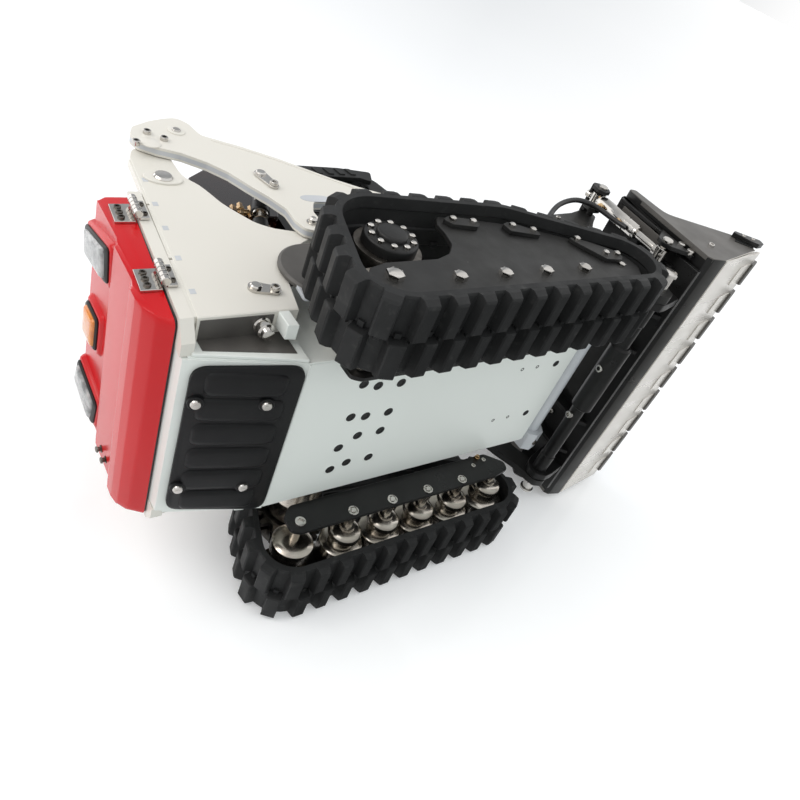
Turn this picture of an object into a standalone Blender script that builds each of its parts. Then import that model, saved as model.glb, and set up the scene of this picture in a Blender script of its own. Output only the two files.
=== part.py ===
"""Compact track loader, 1:14 radio-controlled model. Metres, +Z up, bucket towards -Y, machine's left is +X."""

import math

import bmesh
import bpy
from mathutils import Vector

MM = 0.001
Y_MID = 46.5            # subtracted from every layout y, so that the origin is under the middle

# Layout numbers below are millimetres: y from the belly plate's front edge, z from the ground.
TUB_HALF = 31.5
TUB_FRONT = 0.0
TUB_KNEE = 124.0
TUB_REAR = 158.0
BELLY_Z = 24.5
TAIL_Z = 33.0
TUB_TOP = 60.0
WALL = 1.6

TRACK_IN = 45.0
TRACK_OUT = 70.5
BAND = 2.3
LUG = 3.4
LUG_COUNT = 30
FRONT_IDLER = (20.8, 16.0, 10.3)    # y, z and radius of the band's inner face round it
CARRIER = (56.0, 36.5, 7.5)
DRIVE = (103.5, 34.3, 14.9)
REAR_IDLER = (113.6, 16.2, 10.5)
ROLLER_Y = (41.0, 58.5, 75.5, 92.8)
ROLLER_Z = 14.4
ROLLER_R = 8.2
INNER_PLATE = (34.5, 36.0)
OUTER_PLATE = (64.8, 66.4)
GAP = 0.3

ARM_IN = 41.3
ARM_OUT = 44.7
ARM_PIVOT = (137.4, 123.2)
BUCKET_PIVOT = (-14.0, 17.0)
LIFT_BASE = (130.5, 47.0)
LIFT_END = (105.5, 101.0)
LIFT_X = 34.9
TILT_BASE = (-24.0, 67.0)
TILT_END = (-22.0, 29.0)
TILT_X = 60.5
FOOT_IN = 50.0
FOOT_OUT = 53.4

BUCKET_HALF = 68.0
LEAN = 0.1              # the rear frame and the hood's joint face lean forward by this slope

WHITE = ("white_paint", (0.80, 0.80, 0.78), 0.35, 0.0)
RED = ("red_paint", (0.55, 0.012, 0.018), 0.25, 0.0)
BLACK = ("black_paint", (0.012, 0.012, 0.013), 0.35, 0.0)
RUBBER = ("track_rubber", (0.018, 0.018, 0.018), 0.75, 0.0)
STEEL = ("polished_steel", (0.62, 0.58, 0.52), 0.22, 1.0)
CHROME = ("chrome", (0.75, 0.75, 0.75), 0.08, 1.0)
GREY = ("grey_metal", (0.42, 0.43, 0.44), 0.35, 0.6)
PLASTIC = ("black_plastic", (0.02, 0.02, 0.02), 0.55, 0.0)
BLUE = ("battery_wrap", (0.03, 0.06, 0.2), 0.5, 0.0)
LENS = ("clear_lens", (0.75, 0.77, 0.78), 0.1, 0.0)
AMBER = ("amber_lens", (0.8, 0.25, 0.01), 0.15, 0.0)


def clear_scene():
    for obj in list(bpy.data.objects):
        bpy.data.objects.remove(obj, do_unlink=True)


def material(look):
    name, colour, rough, metal = look
    mat = bpy.data.materials.get(name)
    if mat:
        return mat
    mat = bpy.data.materials.new(name)
    mat.use_nodes = True
    shader = mat.node_tree.nodes["Principled BSDF"]
    shader.inputs["Base Color"].default_value = (*colour, 1.0)
    shader.inputs["Roughness"].default_value = rough
    shader.inputs["Metallic"].default_value = metal
    return mat


def world(x, y, z):
    """A layout point in millimetres, as metres in the part's frame."""
    return Vector((x * MM, (y - Y_MID) * MM, z * MM))


def finish(name, bm, look, origin=None):
    """Turns a bmesh in world metres into a named object whose origin is at the given layout point."""
    bmesh.ops.recalc_face_normals(bm, faces=bm.faces)
    start = world(*origin) if origin else Vector((0.0, 0.0, 0.0))
    bmesh.ops.translate(bm, verts=bm.verts, vec=-start)
    mesh = bpy.data.meshes.new(name)
    bm.to_mesh(mesh)
    bm.free()
    obj = bpy.data.objects.new(name, mesh)
    obj.location = start
    bpy.context.scene.collection.objects.link(obj)
    if look:
        mesh.materials.append(material(look))
    return obj


def smooth(obj, angle=35.0):
    obj.data.shade_smooth()
    obj.data.set_sharp_from_angle(angle=math.radians(angle))
    return obj


def extrude_loop(bm, low, high):
    """Closes two matching rings of points into a prism."""
    first = [bm.verts.new(point) for point in low]
    last = [bm.verts.new(point) for point in high]
    bm.faces.new(first)
    bm.faces.new(last)
    count = len(first)
    for i in range(count):
        j = (i + 1) % count
        bm.faces.new((first[i], first[j], last[j], last[i]))


def prism_x(name, outline, x0, x1, look, origin=None):
    """A plate whose outline is in y and z, from x0 to x1."""
    bm = bmesh.new()
    low = [world(x0, y, z) for y, z in outline]
    high = [world(x1, y, z) for y, z in outline]
    extrude_loop(bm, low, high)
    return finish(name, bm, look, origin)


def prism_y(name, outline, y_of, look, origin=None):
    """A plate whose outline is in x and z; y_of(z) gives its two y faces."""
    bm = bmesh.new()
    low = [world(x, y_of(z)[0], z) for x, z in outline]
    high = [world(x, y_of(z)[1], z) for x, z in outline]
    extrude_loop(bm, low, high)
    return finish(name, bm, look, origin)


def box(name, x, y, z, look=None, origin=None):
    outline = [(y[0], z[0]), (y[1], z[0]), (y[1], z[1]), (y[0], z[1])]
    return prism_x(name, outline, x[0], x[1], look, origin)


def lathe_x(name, profile, centre, look, segments=16, side=1, origin=None):
    """Turns a profile of (x, radius) about the X line through centre. The profile starts and ends on the line."""
    bm = bmesh.new()
    rings = []
    for x, radius in profile[1:-1]:
        ring = []
        for k in range(segments):
            turn = math.tau * (k + 0.5) / segments
            y = centre[0] + radius * math.cos(turn)
            z = centre[1] + radius * math.sin(turn)
            ring.append(bm.verts.new(world(side * x, y, z)))
        rings.append(ring)
    bm.faces.new(rings[0])
    bm.faces.new(rings[-1])
    for one, two in zip(rings[:-1], rings[1:]):
        for k in range(segments):
            j = (k + 1) % segments
            bm.faces.new((one[k], one[j], two[j], two[k]))
    obj = finish(name, bm, look, origin)
    return smooth(obj) if look else obj


def rod(name, start, end, rings, look, segments=14, origin=None):
    """Turns rings of (distance along, radius) about the line from start to end, both layout points."""
    a = world(*start)
    b = world(*end)
    along = (b - a).normalized()
    side = along.orthogonal().normalized()
    up = along.cross(side)
    bm = bmesh.new()
    made = []
    for distance, radius in rings:
        ring = []
        for k in range(segments):
            turn = math.tau * k / segments
            out = side * math.cos(turn) + up * math.sin(turn)
            ring.append(bm.verts.new(a + along * distance * MM + out * radius * MM))
        made.append(ring)
    bm.faces.new(made[0])
    bm.faces.new(made[-1])
    for one, two in zip(made[:-1], made[1:]):
        for k in range(segments):
            j = (k + 1) % segments
            bm.faces.new((one[k], one[j], two[j], two[k]))
    obj = finish(name, bm, look, origin)
    return smooth(obj) if look else obj


def boolean(obj, other, operation):
    """Adds or cuts another solid, which stays as a hidden helper."""
    other.hide_render = True
    other.display_type = "WIRE"
    mod = obj.modifiers.new(other.name, "BOOLEAN")
    mod.operation = operation
    mod.solver = "EXACT"
    mod.object = other
    return obj


def cut(obj, other):
    return boolean(obj, other, "DIFFERENCE")


def join(obj, other):
    return boolean(obj, other, "UNION")


def arc(centre, radius, start, end, steps):
    """Points on a circle in the outline's plane, angles in degrees."""
    points = []
    for k in range(steps + 1):
        turn = math.radians(start + (end - start) * k / steps)
        points.append((centre[0] + radius * math.cos(turn), centre[1] + radius * math.sin(turn)))
    return points


def track_path(offset, per_turn=3.0):
    """The closed line round the wheels, at a distance outside the band's inner face: points with outward normals."""
    wheels = [FRONT_IDLER, CARRIER, DRIVE, REAR_IDLER]
    count = len(wheels)
    leave = []
    for i in range(count):
        y0, z0, r0 = wheels[i]
        y1, z1, r1 = wheels[(i + 1) % count]
        dy = y1 - y0
        dz = z1 - z0
        gap = math.hypot(dy, dz)
        base = math.atan2(dz, dy)
        leave.append(base + math.acos((r0 - r1) / gap))
    points = []
    for i in range(count):
        y0, z0, r0 = wheels[i]
        start = leave[i - 1]
        end = leave[i]
        while end > start:
            end -= math.tau
        steps = max(2, round((start - end) * (r0 + offset) / per_turn))
        for k in range(steps + 1):
            turn = start + (end - start) * k / steps
            out = (math.cos(turn), math.sin(turn))
            points.append((y0 + (r0 + offset) * out[0], z0 + (r0 + offset) * out[1], out))
    return points


def along_path(path, distance):
    """The point and outward normal at a distance along the closed path."""
    total = 0.0
    count = len(path)
    for i in range(count):
        y0, z0, n0 = path[i]
        y1, z1, n1 = path[(i + 1) % count]
        step = math.hypot(y1 - y0, z1 - z0)
        if total + step >= distance and step > 1e-9:
            t = (distance - total) / step
            ny = n0[0] + (n1[0] - n0[0]) * t
            nz = n0[1] + (n1[1] - n0[1]) * t
            size = math.hypot(ny, nz)
            return (y0 + (y1 - y0) * t, z0 + (z1 - z0) * t, (ny / size, nz / size))
        total += step
    return path[0]


def path_length(path):
    total = 0.0
    for i in range(len(path)):
        y0, z0, _ = path[i]
        y1, z1, _ = path[(i + 1) % len(path)]
        total += math.hypot(y1 - y0, z1 - z0)
    return total


def ring_prism(name, outer, inner, x0, x1, look):
    """A closed band: outer and inner loops with the same number of points, from x0 to x1."""
    bm = bmesh.new()
    grid = []
    for loop, x in ((outer, x0), (outer, x1), (inner, x1), (inner, x0)):
        grid.append([bm.verts.new(world(x, y, z)) for y, z in loop])
    count = len(outer)
    for a in range(4):
        b = (a + 1) % 4
        for i in range(count):
            j = (i + 1) % count
            bm.faces.new((grid[a][i], grid[a][j], grid[b][j], grid[b][i]))
    return finish(name, bm, look)


def track_row(name, x0, x1, phase, look):
    """One row of lugs with its half of the band."""
    path = track_path(BAND)
    total = path_length(path)
    pitch = total / LUG_COUNT
    outer = []
    inner = []
    for i in range(LUG_COUNT):
        start = (i + phase) * pitch
        for share, rise in ((0.0, 0.0), (0.08, LUG), (0.46, LUG), (0.56, 0.0)):
            y, z, n = along_path(path, (start + share * pitch) % total)
            outer.append((y + n[0] * rise, z + n[1] * rise))
            inner.append((y - n[0] * BAND, z - n[1] * BAND))
    return ring_prism(name, outer, inner, x0, x1, look)


def tracks():
    middle = (TRACK_IN + TRACK_OUT) / 2
    for side, word in ((-1, "right"), (1, "left")):
        a = track_row(f"track_band_{word}", side * TRACK_IN, side * (middle + 0.2), 0.0, RUBBER)
        b = track_row(f"cut_row_{word}", side * (middle - 0.2), side * TRACK_OUT, 0.5, None)
        join(a, b)


def track_frames():
    outer = [(121.0, 13.0), (118.5, 9.8), (112.0, 8.4), (24.0, 8.4), (16.5, 10.0), (13.2, 14.5)]
    outer += [(13.8, 20.0), (19.0, 25.5), (34.0, 32.5), (50.0, 39.5), (66.0, 43.0), (80.0, 44.8)]
    outer += [(82.3, 41.0), (82.6, 36.0), (84.0, 30.5), (88.0, 26.2), (94.0, 23.9), (112.0, 23.4)]
    outer += [(118.0, 21.6), (121.6, 17.5)]
    inner = [(118.0, 14.0), (115.0, 12.2), (24.0, 12.2), (16.5, 13.5), (15.0, 17.5), (22.0, 23.9)]
    inner += [(114.0, 23.9), (118.0, 20.0)]
    for side, word in ((-1, "right"), (1, "left")):
        prism_x(f"outer_plate_{word}", outer, side * OUTER_PLATE[0], side * OUTER_PLATE[1], BLACK)
        prism_x(f"inner_plate_{word}", inner, side * INNER_PLATE[0], side * INNER_PLATE[1], BLACK)


def wheel(name, centre, radius, side, segments, shaft=1.6):
    """A double-flange wheel with its axle, between the two track-frame plates."""
    x0 = INNER_PLATE[1] + GAP
    x1 = OUTER_PLATE[0] - GAP
    groove = radius * 0.55
    profile = [(x0, 0.0), (x0, shaft), (43.8, shaft), (44.2, 5.2), (44.9, 6.2), (47.2, 6.2)]
    profile += [(47.9, groove), (50.3, groove), (51.0, radius), (60.5, radius), (61.5, shaft), (x1, shaft)]
    profile += [(x1, 0.0)]
    origin = (side * 54.0, centre[0], centre[1])
    return lathe_x(name, profile, centre, STEEL, segments, side, origin)


def rear_idler(name, centre, radius, side):
    """The rear idler: two flanges with a deep groove, so that the sprocket's teeth pass between them."""
    x0 = INNER_PLATE[1] + GAP
    x1 = OUTER_PLATE[0] - GAP
    profile = [(x0, 0.0), (x0, 1.6), (43.8, 1.6), (44.2, 6.4), (44.9, 7.4), (50.2, 7.4)]
    profile += [(51.0, 5.2), (60.2, 5.2), (61.0, radius - 0.6), (63.6, radius - 0.6), (63.8, 1.6), (x1, 1.6)]
    profile += [(x1, 0.0)]
    origin = (side * 54.0, centre[0], centre[1])
    return lathe_x(name, profile, centre, STEEL, 20, side, origin)


def wheels():
    for side, word in ((-1, "right"), (1, "left")):
        for i, y in enumerate(ROLLER_Y):
            wheel(f"roller_{word}_{i + 1}", (y, ROLLER_Z), ROLLER_R, side, 16)
        wheel(f"front_idler_{word}", FRONT_IDLER[:2], FRONT_IDLER[2] - 0.35, side, 20)
        rear_idler(f"rear_idler_{word}", REAR_IDLER[:2], REAR_IDLER[2] - 0.35, side)


def drives():
    centre = DRIVE[:2]
    for side, word in ((-1, "right"), (1, "left")):
        fixed = [(29.0, 0.0), (29.0, 6.0), (30.5, 8.6), (42.0, 8.6), (43.0, 9.6), (51.0, 9.6), (51.0, 0.0)]
        lathe_x(f"final_drive_{word}", fixed, centre, STEEL, 20, side)
        teeth = []
        count = 14
        for k in range(count):
            for share, radius in ((0.0, 11.6), (0.28, 11.6), (0.42, 14.3), (0.72, 14.3), (0.86, 11.6)):
                turn = math.tau * (k + share) / count
                teeth.append((centre[0] + radius * math.cos(turn), centre[1] + radius * math.sin(turn)))
        origin = (side * 55.5, *centre)
        prism_x(f"sprocket_{word}", teeth, side * 52.0, side * 59.0, BLACK, origin)
        cap = [(59.3, 0.0), (59.3, 9.8), (63.6, 9.8), (63.8, 8.2), (67.0, 8.2), (67.2, 4.6), (68.6, 4.2), (68.6, 0.0)]
        lathe_x(f"hub_cap_{word}", cap, centre, BLACK, 24, side, origin)


def chassis():
    outline = [(TUB_FRONT, BELLY_Z), (TUB_KNEE, BELLY_Z), (TUB_REAR, TAIL_Z), (TUB_REAR, TUB_TOP)]
    outline += [(TUB_FRONT, TUB_TOP)]
    tub = prism_x("chassis_tub", outline, -TUB_HALF, TUB_HALF, WHITE)
    inside = [(WALL, BELLY_Z + WALL), (TUB_KNEE - 0.2, BELLY_Z + WALL), (TUB_REAR - WALL, TAIL_Z + 1.3)]
    inside += [(TUB_REAR - WALL, TUB_TOP + 5), (WALL, TUB_TOP + 5)]
    cut(tub, prism_x("cut_tub", inside, -TUB_HALF + WALL, TUB_HALF - WALL, None))
    cut(tub, box("cut_hatch", (-24.0, 24.0), (129.0, 151.0), (15.0, 45.0)))
    shaft = [(-40.0, 0.0), (-40.0, 9.2), (40.0, 9.2), (40.0, 0.0)]
    cut(tub, lathe_x("cut_shaft", shaft, DRIVE[:2], None, 20))


def belly_cover():
    """The ribbed cover under the sloping tail: its section across the machine, swept along the slope."""
    slope = math.atan2(TAIL_Z - BELLY_Z, TUB_REAR - TUB_KNEE)
    along = (math.cos(slope), math.sin(slope))
    down = (math.sin(slope), -math.cos(slope))
    half = 30.5
    ribs = [-25.0, -15.0, -5.0, 5.0, 15.0, 25.0]
    outline = [(-half, 0.0), (-half, 1.4)]
    for x in ribs:
        outline += [(x - 3.4, 1.4), (x - 2.6, 2.4), (x + 2.6, 2.4), (x + 3.4, 1.4)]
    outline += [(half, 1.4), (half, 0.0)]
    rows = []
    for s in (0.8, 33.2):
        row = []
        for x, t in outline:
            drop = t + GAP
            y = TUB_KNEE + along[0] * s + down[0] * drop
            z = BELLY_Z + along[1] * s + down[1] * drop
            row.append(world(x, y, z))
        rows.append(row)
    bm = bmesh.new()
    extrude_loop(bm, rows[0], rows[1])
    finish("belly_cover", bm, BLACK)


def joint_face(z):
    """The y of the plane where the hood meets the rear frame, at height z."""
    return 158.6 - LEAN * (z - 38.0)


def rear_frame():
    outline = [(-41.0, 38.0), (-36.0, 33.6), (36.0, 33.6), (41.0, 38.0), (41.0, 99.0), (-41.0, 99.0)]
    frame = prism_y("rear_frame", outline, lambda z: (joint_face(z) - 4.2, joint_face(z) - 0.4), WHITE)
    window = [(-35.0, 65.0), (35.0, 65.0), (35.0, 93.0), (-35.0, 93.0)]
    cut(frame, prism_y("cut_window", window, lambda z: (joint_face(z) - 9.0, joint_face(z) + 4.0), None))
    # The tub's rear end fills the lower opening, with a gap all round.
    lower = [(-31.8, 20.0), (31.8, 20.0), (31.8, 60.5), (-31.8, 60.5)]
    cut(frame, prism_y("cut_lower", lower, lambda z: (joint_face(z) - 12.0, joint_face(z) + 4.0), None))


def towers():
    plate = [(123.5, 40.0), (153.5, 40.0), (144.8, 120.0), (142.0, 125.5), (136.0, 127.0), (131.5, 122.0)]
    plate += [(131.0, 110.0), (127.6, 103.8), (125.8, 98.8), (123.9, 92.8), (120.6, 86.8), (117.0, 81.5)]
    plate += [(112.0, 78.2), (99.0, 74.6), (101.5, 72.6), (107.0, 69.4), (112.9, 64.0), (117.6, 57.0)]
    plate += [(120.8, 49.8)]
    foot = [(123.5, 37.8), (153.5, 37.8), (153.5, 40.2), (123.5, 40.2)]
    for side, word in ((-1, "right"), (1, "left")):
        tower = prism_x(f"tower_{word}", plate, side * 38.6, side * 41.0, WHITE)
        join(tower, prism_x(f"foot_{word}", foot, side * 31.8, side * 41.0, None))


def cab():
    outer = [(20.0, 60.4), (18.0, 64.0), (24.0, 96.0), (33.0, 134.0), (36.0, 139.5), (88.0, 139.5)]
    outer += [(92.0, 136.0), (97.0, 66.0), (95.0, 60.4)]
    shell = prism_x("cab_shell", outer, -27.0, 27.0, PLASTIC)
    inner = [(21.5, 62.4), (26.0, 96.0), (35.0, 137.4), (89.0, 137.4), (94.5, 62.4)]
    cut(shell, prism_x("cut_cab", inner, -25.2, 25.2, None))
    cut(shell, box("cut_door", (-20.0, 20.0), (5.0, 48.0), (68.0, 130.0)))
    cut(shell, box("cut_sides", (-30.0, 30.0), (40.0, 84.0), (88.0, 130.0)))
    cut(shell, box("cut_rear", (-18.0, 18.0), (80.0, 105.0), (100.0, 130.0)))
    seat = [(52.0, 62.8), (82.0, 62.8), (84.0, 108.0), (79.0, 109.0), (74.0, 80.0), (52.0, 78.0)]
    prism_x("cab_seat", seat, -13.0, 13.0, PLASTIC)


def hood():
    origin = (-43.2, joint_face(70.0), 70.0)
    back = [(joint_face(99.0), 99.0), (159.8, 99.0), (161.9, 97.0), (162.2, 75.5), (164.0, 72.0)]
    back += [(164.3, 56.0), (166.0, 52.6), (165.9, 47.5), (164.8, 43.5), (162.4, 40.0), (158.9, 38.2)]
    back += [(joint_face(38.0), 38.0)]
    shell = prism_x("hood_shell", back, -40.0, 40.0, RED, origin)
    hollow = [(joint_face(97.4) - 3.0, 97.4), (159.0, 97.4), (160.3, 96.2), (160.6, 75.0), (162.4, 71.5)]
    hollow += [(162.7, 55.6), (164.4, 52.2), (164.3, 48.0), (163.4, 44.6), (161.6, 41.4), (158.6, 39.8)]
    hollow += [(joint_face(39.6) - 3.0, 39.6)]
    cut(shell, prism_x("cut_hood", hollow, -38.4, 38.4, None))
    # Each lamp stands on a shallow pod on the upper part of the back.
    for side, word in ((-1, "right"), (1, "left")):
        pod = [(side * 36.6, 76.2), (side * 24.0, 74.2), (side * 21.0, 96.2), (side * 31.6, 98.0)]
        join(shell, prism_y(f"pod_{word}", pod, lambda z: (161.0, 163.4), None))
        outline = [(side * 35.0, 77.6), (side * 25.0, 75.8), (side * 22.4, 95.0), (side * 30.6, 96.8)]
        prism_y(f"lamp_{word}", outline, lambda z: (163.7, 165.8), LENS, origin)
    pod = [(-7.0, 80.4), (7.0, 80.4), (7.0, 93.2), (-7.0, 93.2)]
    join(shell, prism_y("pod_amber", pod, lambda z: (161.0, 163.2), None))
    amber = [(-5.8, 81.6), (5.8, 81.6), (5.8, 92.0), (-5.8, 92.0)]
    prism_y("lamp_amber", amber, lambda z: (163.5, 165.6), AMBER, origin)


def hinges():
    for word, low, high in (("lower", 51.0, 60.0), ("upper", 83.0, 92.0)):
        start = (-43.2, joint_face(low), low)
        end = (-43.2, joint_face(high), high)
        rod(f"hood_hinge_{word}", start, end, [(0.0, 1.1), (9.0, 1.1)], CHROME, 12)
        butt = bpy.data.objects[f"hood_hinge_{word}"]
        leaf = [(joint_face(low) - 7.0, low), (joint_face(low) - 0.2, low)]
        leaf += [(joint_face(high) - 0.2, high), (joint_face(high) - 7.0, high)]
        join(butt, prism_x(f"leaf_{word}", leaf, -43.6, -41.3, None))


def arms():
    outline = [(142.5, 128.5), (140.0, 134.0), (133.0, 138.7), (127.0, 141.5), (121.5, 143.0), (118.5, 139.0)]
    outline += [(117.0, 131.0), (105.0, 124.7), (93.6, 117.3), (77.2, 104.2), (69.0, 98.9), (52.0, 90.0)]
    outline += [(34.0, 84.0), (16.0, 80.6), (0.0, 80.5), (-6.0, 80.0), (-9.0, 76.0), (-9.0, 66.0)]
    outline += [(-5.0, 61.0), (4.0, 61.0), (18.0, 68.0), (34.0, 74.0), (54.0, 79.0), (74.0, 84.0)]
    outline += [(88.0, 88.5), (93.5, 88.5), (96.8, 82.0), (96.5, 76.0), (98.0, 72.0), (101.0, 70.8)]
    outline += [(104.8, 72.2), (106.3, 77.0), (106.0, 84.0), (109.0, 91.0), (113.0, 98.0), (117.0, 106.0)]
    outline += [(122.0, 112.0), (129.0, 117.5), (136.0, 120.5), (141.0, 124.0)]
    leg = [(8.0, 66.0), (10.0, 62.0), (6.0, 55.0), (1.0, 46.0), (-3.0, 34.0), (-7.5, 24.0), (-8.5, 17.0)]
    leg += [(-10.0, 12.8), (-14.0, 11.3), (-18.0, 13.0), (-19.6, 17.0), (-17.4, 24.0), (-14.0, 34.0)]
    leg += [(-12.5, 48.0), (-14.0, 55.0), (-21.0, 61.0), (-26.5, 65.0), (-26.5, 69.0), (-23.0, 70.6)]
    leg += [(-14.0, 68.0), (-4.0, 67.0)]
    for side, word in ((-1, "right"), (1, "left")):
        origin = (side * ARM_IN, *ARM_PIVOT)
        prism_x(f"lift_arm_{word}", outline, side * ARM_IN, side * ARM_OUT, WHITE, origin)
        foot = prism_x(f"arm_foot_{word}", leg, side * FOOT_IN, side * FOOT_OUT, BLACK, origin)
        join(foot, box(f"spacer_{word}", (side * (ARM_OUT + GAP), side * (FOOT_IN + 0.4)), (-6.0, 5.0), (61.8, 66.0)))
        pin = [(FOOT_OUT - 0.4, 0.0), (FOOT_OUT - 0.4, 1.6), (57.1, 1.6), (57.1, 0.0)]
        join(foot, lathe_x(f"tilt_pin_{word}", pin, TILT_BASE, None, 12, side))


def bumper():
    """The round tube across the front of the tub, between its two blocks."""
    tube = [(-30.0, 0.0), (-30.0, 3.6), (30.0, 3.6), (30.0, 0.0)]
    cross = lathe_x("cross_tube", tube, (-5.5, 27.5), GREY, 20)
    block = [(-11.0, 25.5), (-9.0, 22.5), (-4.0, 21.0), (-0.4, 23.0), (-0.4, 33.0), (-3.0, 34.5), (-8.4, 33.6)]
    join(cross, prism_x("block_right", block, -36.5, -27.5, None))
    join(cross, prism_x("block_left", block, 27.5, 36.5, None))


def cylinder(word, base, end, x, barrel, radius, pin, inner):
    """A hydraulic cylinder: a barrel that starts at the base pin, and a rod that ends at the end pin."""
    length = math.hypot(end[0] - base[0], end[1] - base[1])
    a = (x, *base)
    b = (x, *end)
    tube = rod(f"{word}_barrel_{side_word(x)}", a, b, [(-2.6, radius), (barrel, radius)], BLACK, 14, a)
    bore = [(inner - 3.2, pin + 0.3), (barrel + 3.0, pin + 0.3)]
    cut(tube, rod(f"cut_{word}_{side_word(x)}", a, b, bore, None, 12))
    rings = [(inner, pin), (length - 2.6, pin), (length - 2.6, 2.6), (length + 2.4, 2.6)]
    rod(f"{word}_rod_{side_word(x)}", a, b, rings, CHROME, 12, b)


def side_word(x):
    return "right" if x < 0 else "left"


def cylinders():
    for side in (-1, 1):
        cylinder("lift", LIFT_BASE, LIFT_END, side * LIFT_X, 48.0, 2.9, 1.5, 12.0)
        cylinder("tilt", TILT_BASE, TILT_END, side * TILT_X, 24.0, 3.0, 1.5, 7.0)


def coupler():
    origin = (0.0, *BUCKET_PIVOT)
    plate = [(-28.4, 13.6), (-26.2, 13.6), (-29.4, 50.0), (-31.7, 50.0)]
    body = prism_x("coupler", plate, -62.5, 62.5, BLACK, origin)
    low_ear = [(-27.4, 14.4), (-18.0, 12.0), (-13.6, 11.6), (-9.4, 14.0), (-8.6, 18.0), (-10.6, 21.6)]
    low_ear += [(-15.0, 24.0), (-28.0, 28.0)]
    top_ear = [(-27.6, 21.0), (-21.0, 25.4), (-18.8, 29.0), (-20.6, 32.4), (-29.0, 37.0)]
    for side, word in ((-1, "right"), (1, "left")):
        join(body, prism_x(f"low_ear_{word}", low_ear, side * 46.4, side * (FOOT_IN - GAP), None))
        join(body, prism_x(f"top_ear_{word}", top_ear, side * 54.9, side * 57.1, None))
    bar = [(-46.9, 0.0), (-46.9, 3.4), (46.9, 3.4), (46.9, 0.0)]
    join(body, lathe_x("coupler_bar", bar, BUCKET_PIVOT, None, 16))


def bucket():
    origin = (0.0, *BUCKET_PIVOT)
    side_view = [(-29.0, 15.5), (-33.0, 60.5), (-34.2, 62.5), (-37.5, 61.5), (-37.5, 44.0), (-64.0, 29.0)]
    side_view += [(-69.0, 21.0), (-66.0, 17.4), (-36.8, 12.2), (-31.0, 13.6)]
    shell = prism_x("bucket_shell", side_view, -BUCKET_HALF, BUCKET_HALF, GREY, origin)
    inside = [(-31.6, 18.4), (-35.4, 44.0), (-37.4, 75.0), (-90.0, 75.0), (-90.0, 19.6), (-66.0, 19.4)]
    inside += [(-37.5, 15.0)]
    cut(shell, prism_x("cut_bucket", inside, -BUCKET_HALF + 2.0, BUCKET_HALF - 2.0, None))
    # The cutting edge is a strip bolted under the lip, with a row of plate teeth in front.
    strip = [(-48.0, 12.3), (-48.0, 13.85), (-67.5, 17.3), (-69.5, 16.6), (-68.0, 15.6)]
    edge = prism_x("cutting_edge", strip, -67.0, 67.0, STEEL, origin)
    tooth = [(-62.0, 15.0), (-66.0, 16.6), (-73.0, 17.7), (-73.0, 16.9), (-66.0, 15.4)]
    for k in range(9):
        x = -58.0 + 14.5 * k
        join(edge, prism_x(f"tooth_{k}", tooth, x - 4.85, x + 4.85, None))


def catmull(points, per_span):
    """A smooth curve through the given points."""
    made = []
    ends = [points[0]] + list(points) + [points[-1]]
    for i in range(1, len(ends) - 2):
        p0, p1, p2, p3 = (Vector(ends[i + k]) for k in (-1, 0, 1, 2))
        for k in range(per_span):
            t = k / per_span
            a = 2 * p1 + (p2 - p0) * t
            b = (2 * p0 - 5 * p1 + 4 * p2 - p3) * t * t
            c = (3 * p1 - p0 - 3 * p2 + p3) * t * t * t
            made.append((a + b + c) / 2)
    made.append(Vector(points[-1]))
    return made


def hose():
    route = [(-44.0, -27.2, 42.0), (-44.0, -24.0, 44.8), (-41.0, -20.5, 51.0), (-34.0, -18.5, 56.0)]
    route += [(-25.0, -19.0, 57.5), (-17.0, -22.0, 54.0), (-13.0, -25.0, 47.5), (-12.4, -27.3, 42.0)]
    curve = bpy.data.curves.new("coupler_hose", "CURVE")
    curve.dimensions = "3D"
    curve.bevel_depth = 1.1 * MM
    curve.bevel_resolution = 2
    curve.use_fill_caps = True
    spline = curve.splines.new("POLY")
    start = world(0.0, *BUCKET_PIVOT)
    points = catmull(route, 4)
    spline.points.add(len(points) - 1)
    for slot, point in zip(spline.points, points):
        slot.co = (*(world(*point) - start), 1.0)
    obj = bpy.data.objects.new("coupler_hose", curve)
    obj.location = start
    bpy.context.scene.collection.objects.link(obj)
    curve.materials.append(material(PLASTIC))


def internals():
    floor = BELLY_Z + WALL + GAP
    for side, word in ((-1, "right"), (1, "left")):
        can = [(4.0, 0.0), (4.0, 8.0), (28.5, 8.0), (28.5, 0.0)]
        lathe_x(f"drive_motor_{word}", can, DRIVE[:2], STEEL, 16, side)
    box("battery", (-22.0, 22.0), (6.0, 60.0), (floor, 48.0), BLUE)
    pump = [(-20.0, 0.0), (-20.0, 7.0), (4.0, 7.0), (4.6, 5.0), (16.0, 5.0), (16.0, 0.0)]
    lathe_x("hydraulic_pump", pump, (76.0, 36.0), BLACK, 14)
    box("valve_block", (-20.0, 20.0), (104.0, 122.0), (61.0, 74.0), STEEL)
    box("oil_tank", (-24.0, 24.0), (126.0, 144.0), (61.0, 88.0), GREY)


def build():
    clear_scene()
    chassis()
    belly_cover()
    rear_frame()
    towers()
    cab()
    tracks()
    track_frames()
    wheels()
    drives()
    bumper()
    arms()
    cylinders()
    coupler()
    bucket()
    hose()
    hood()
    hinges()
    internals()


build()
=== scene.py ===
import math

import bmesh
import bpy
from mathutils import Matrix, Vector


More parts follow.
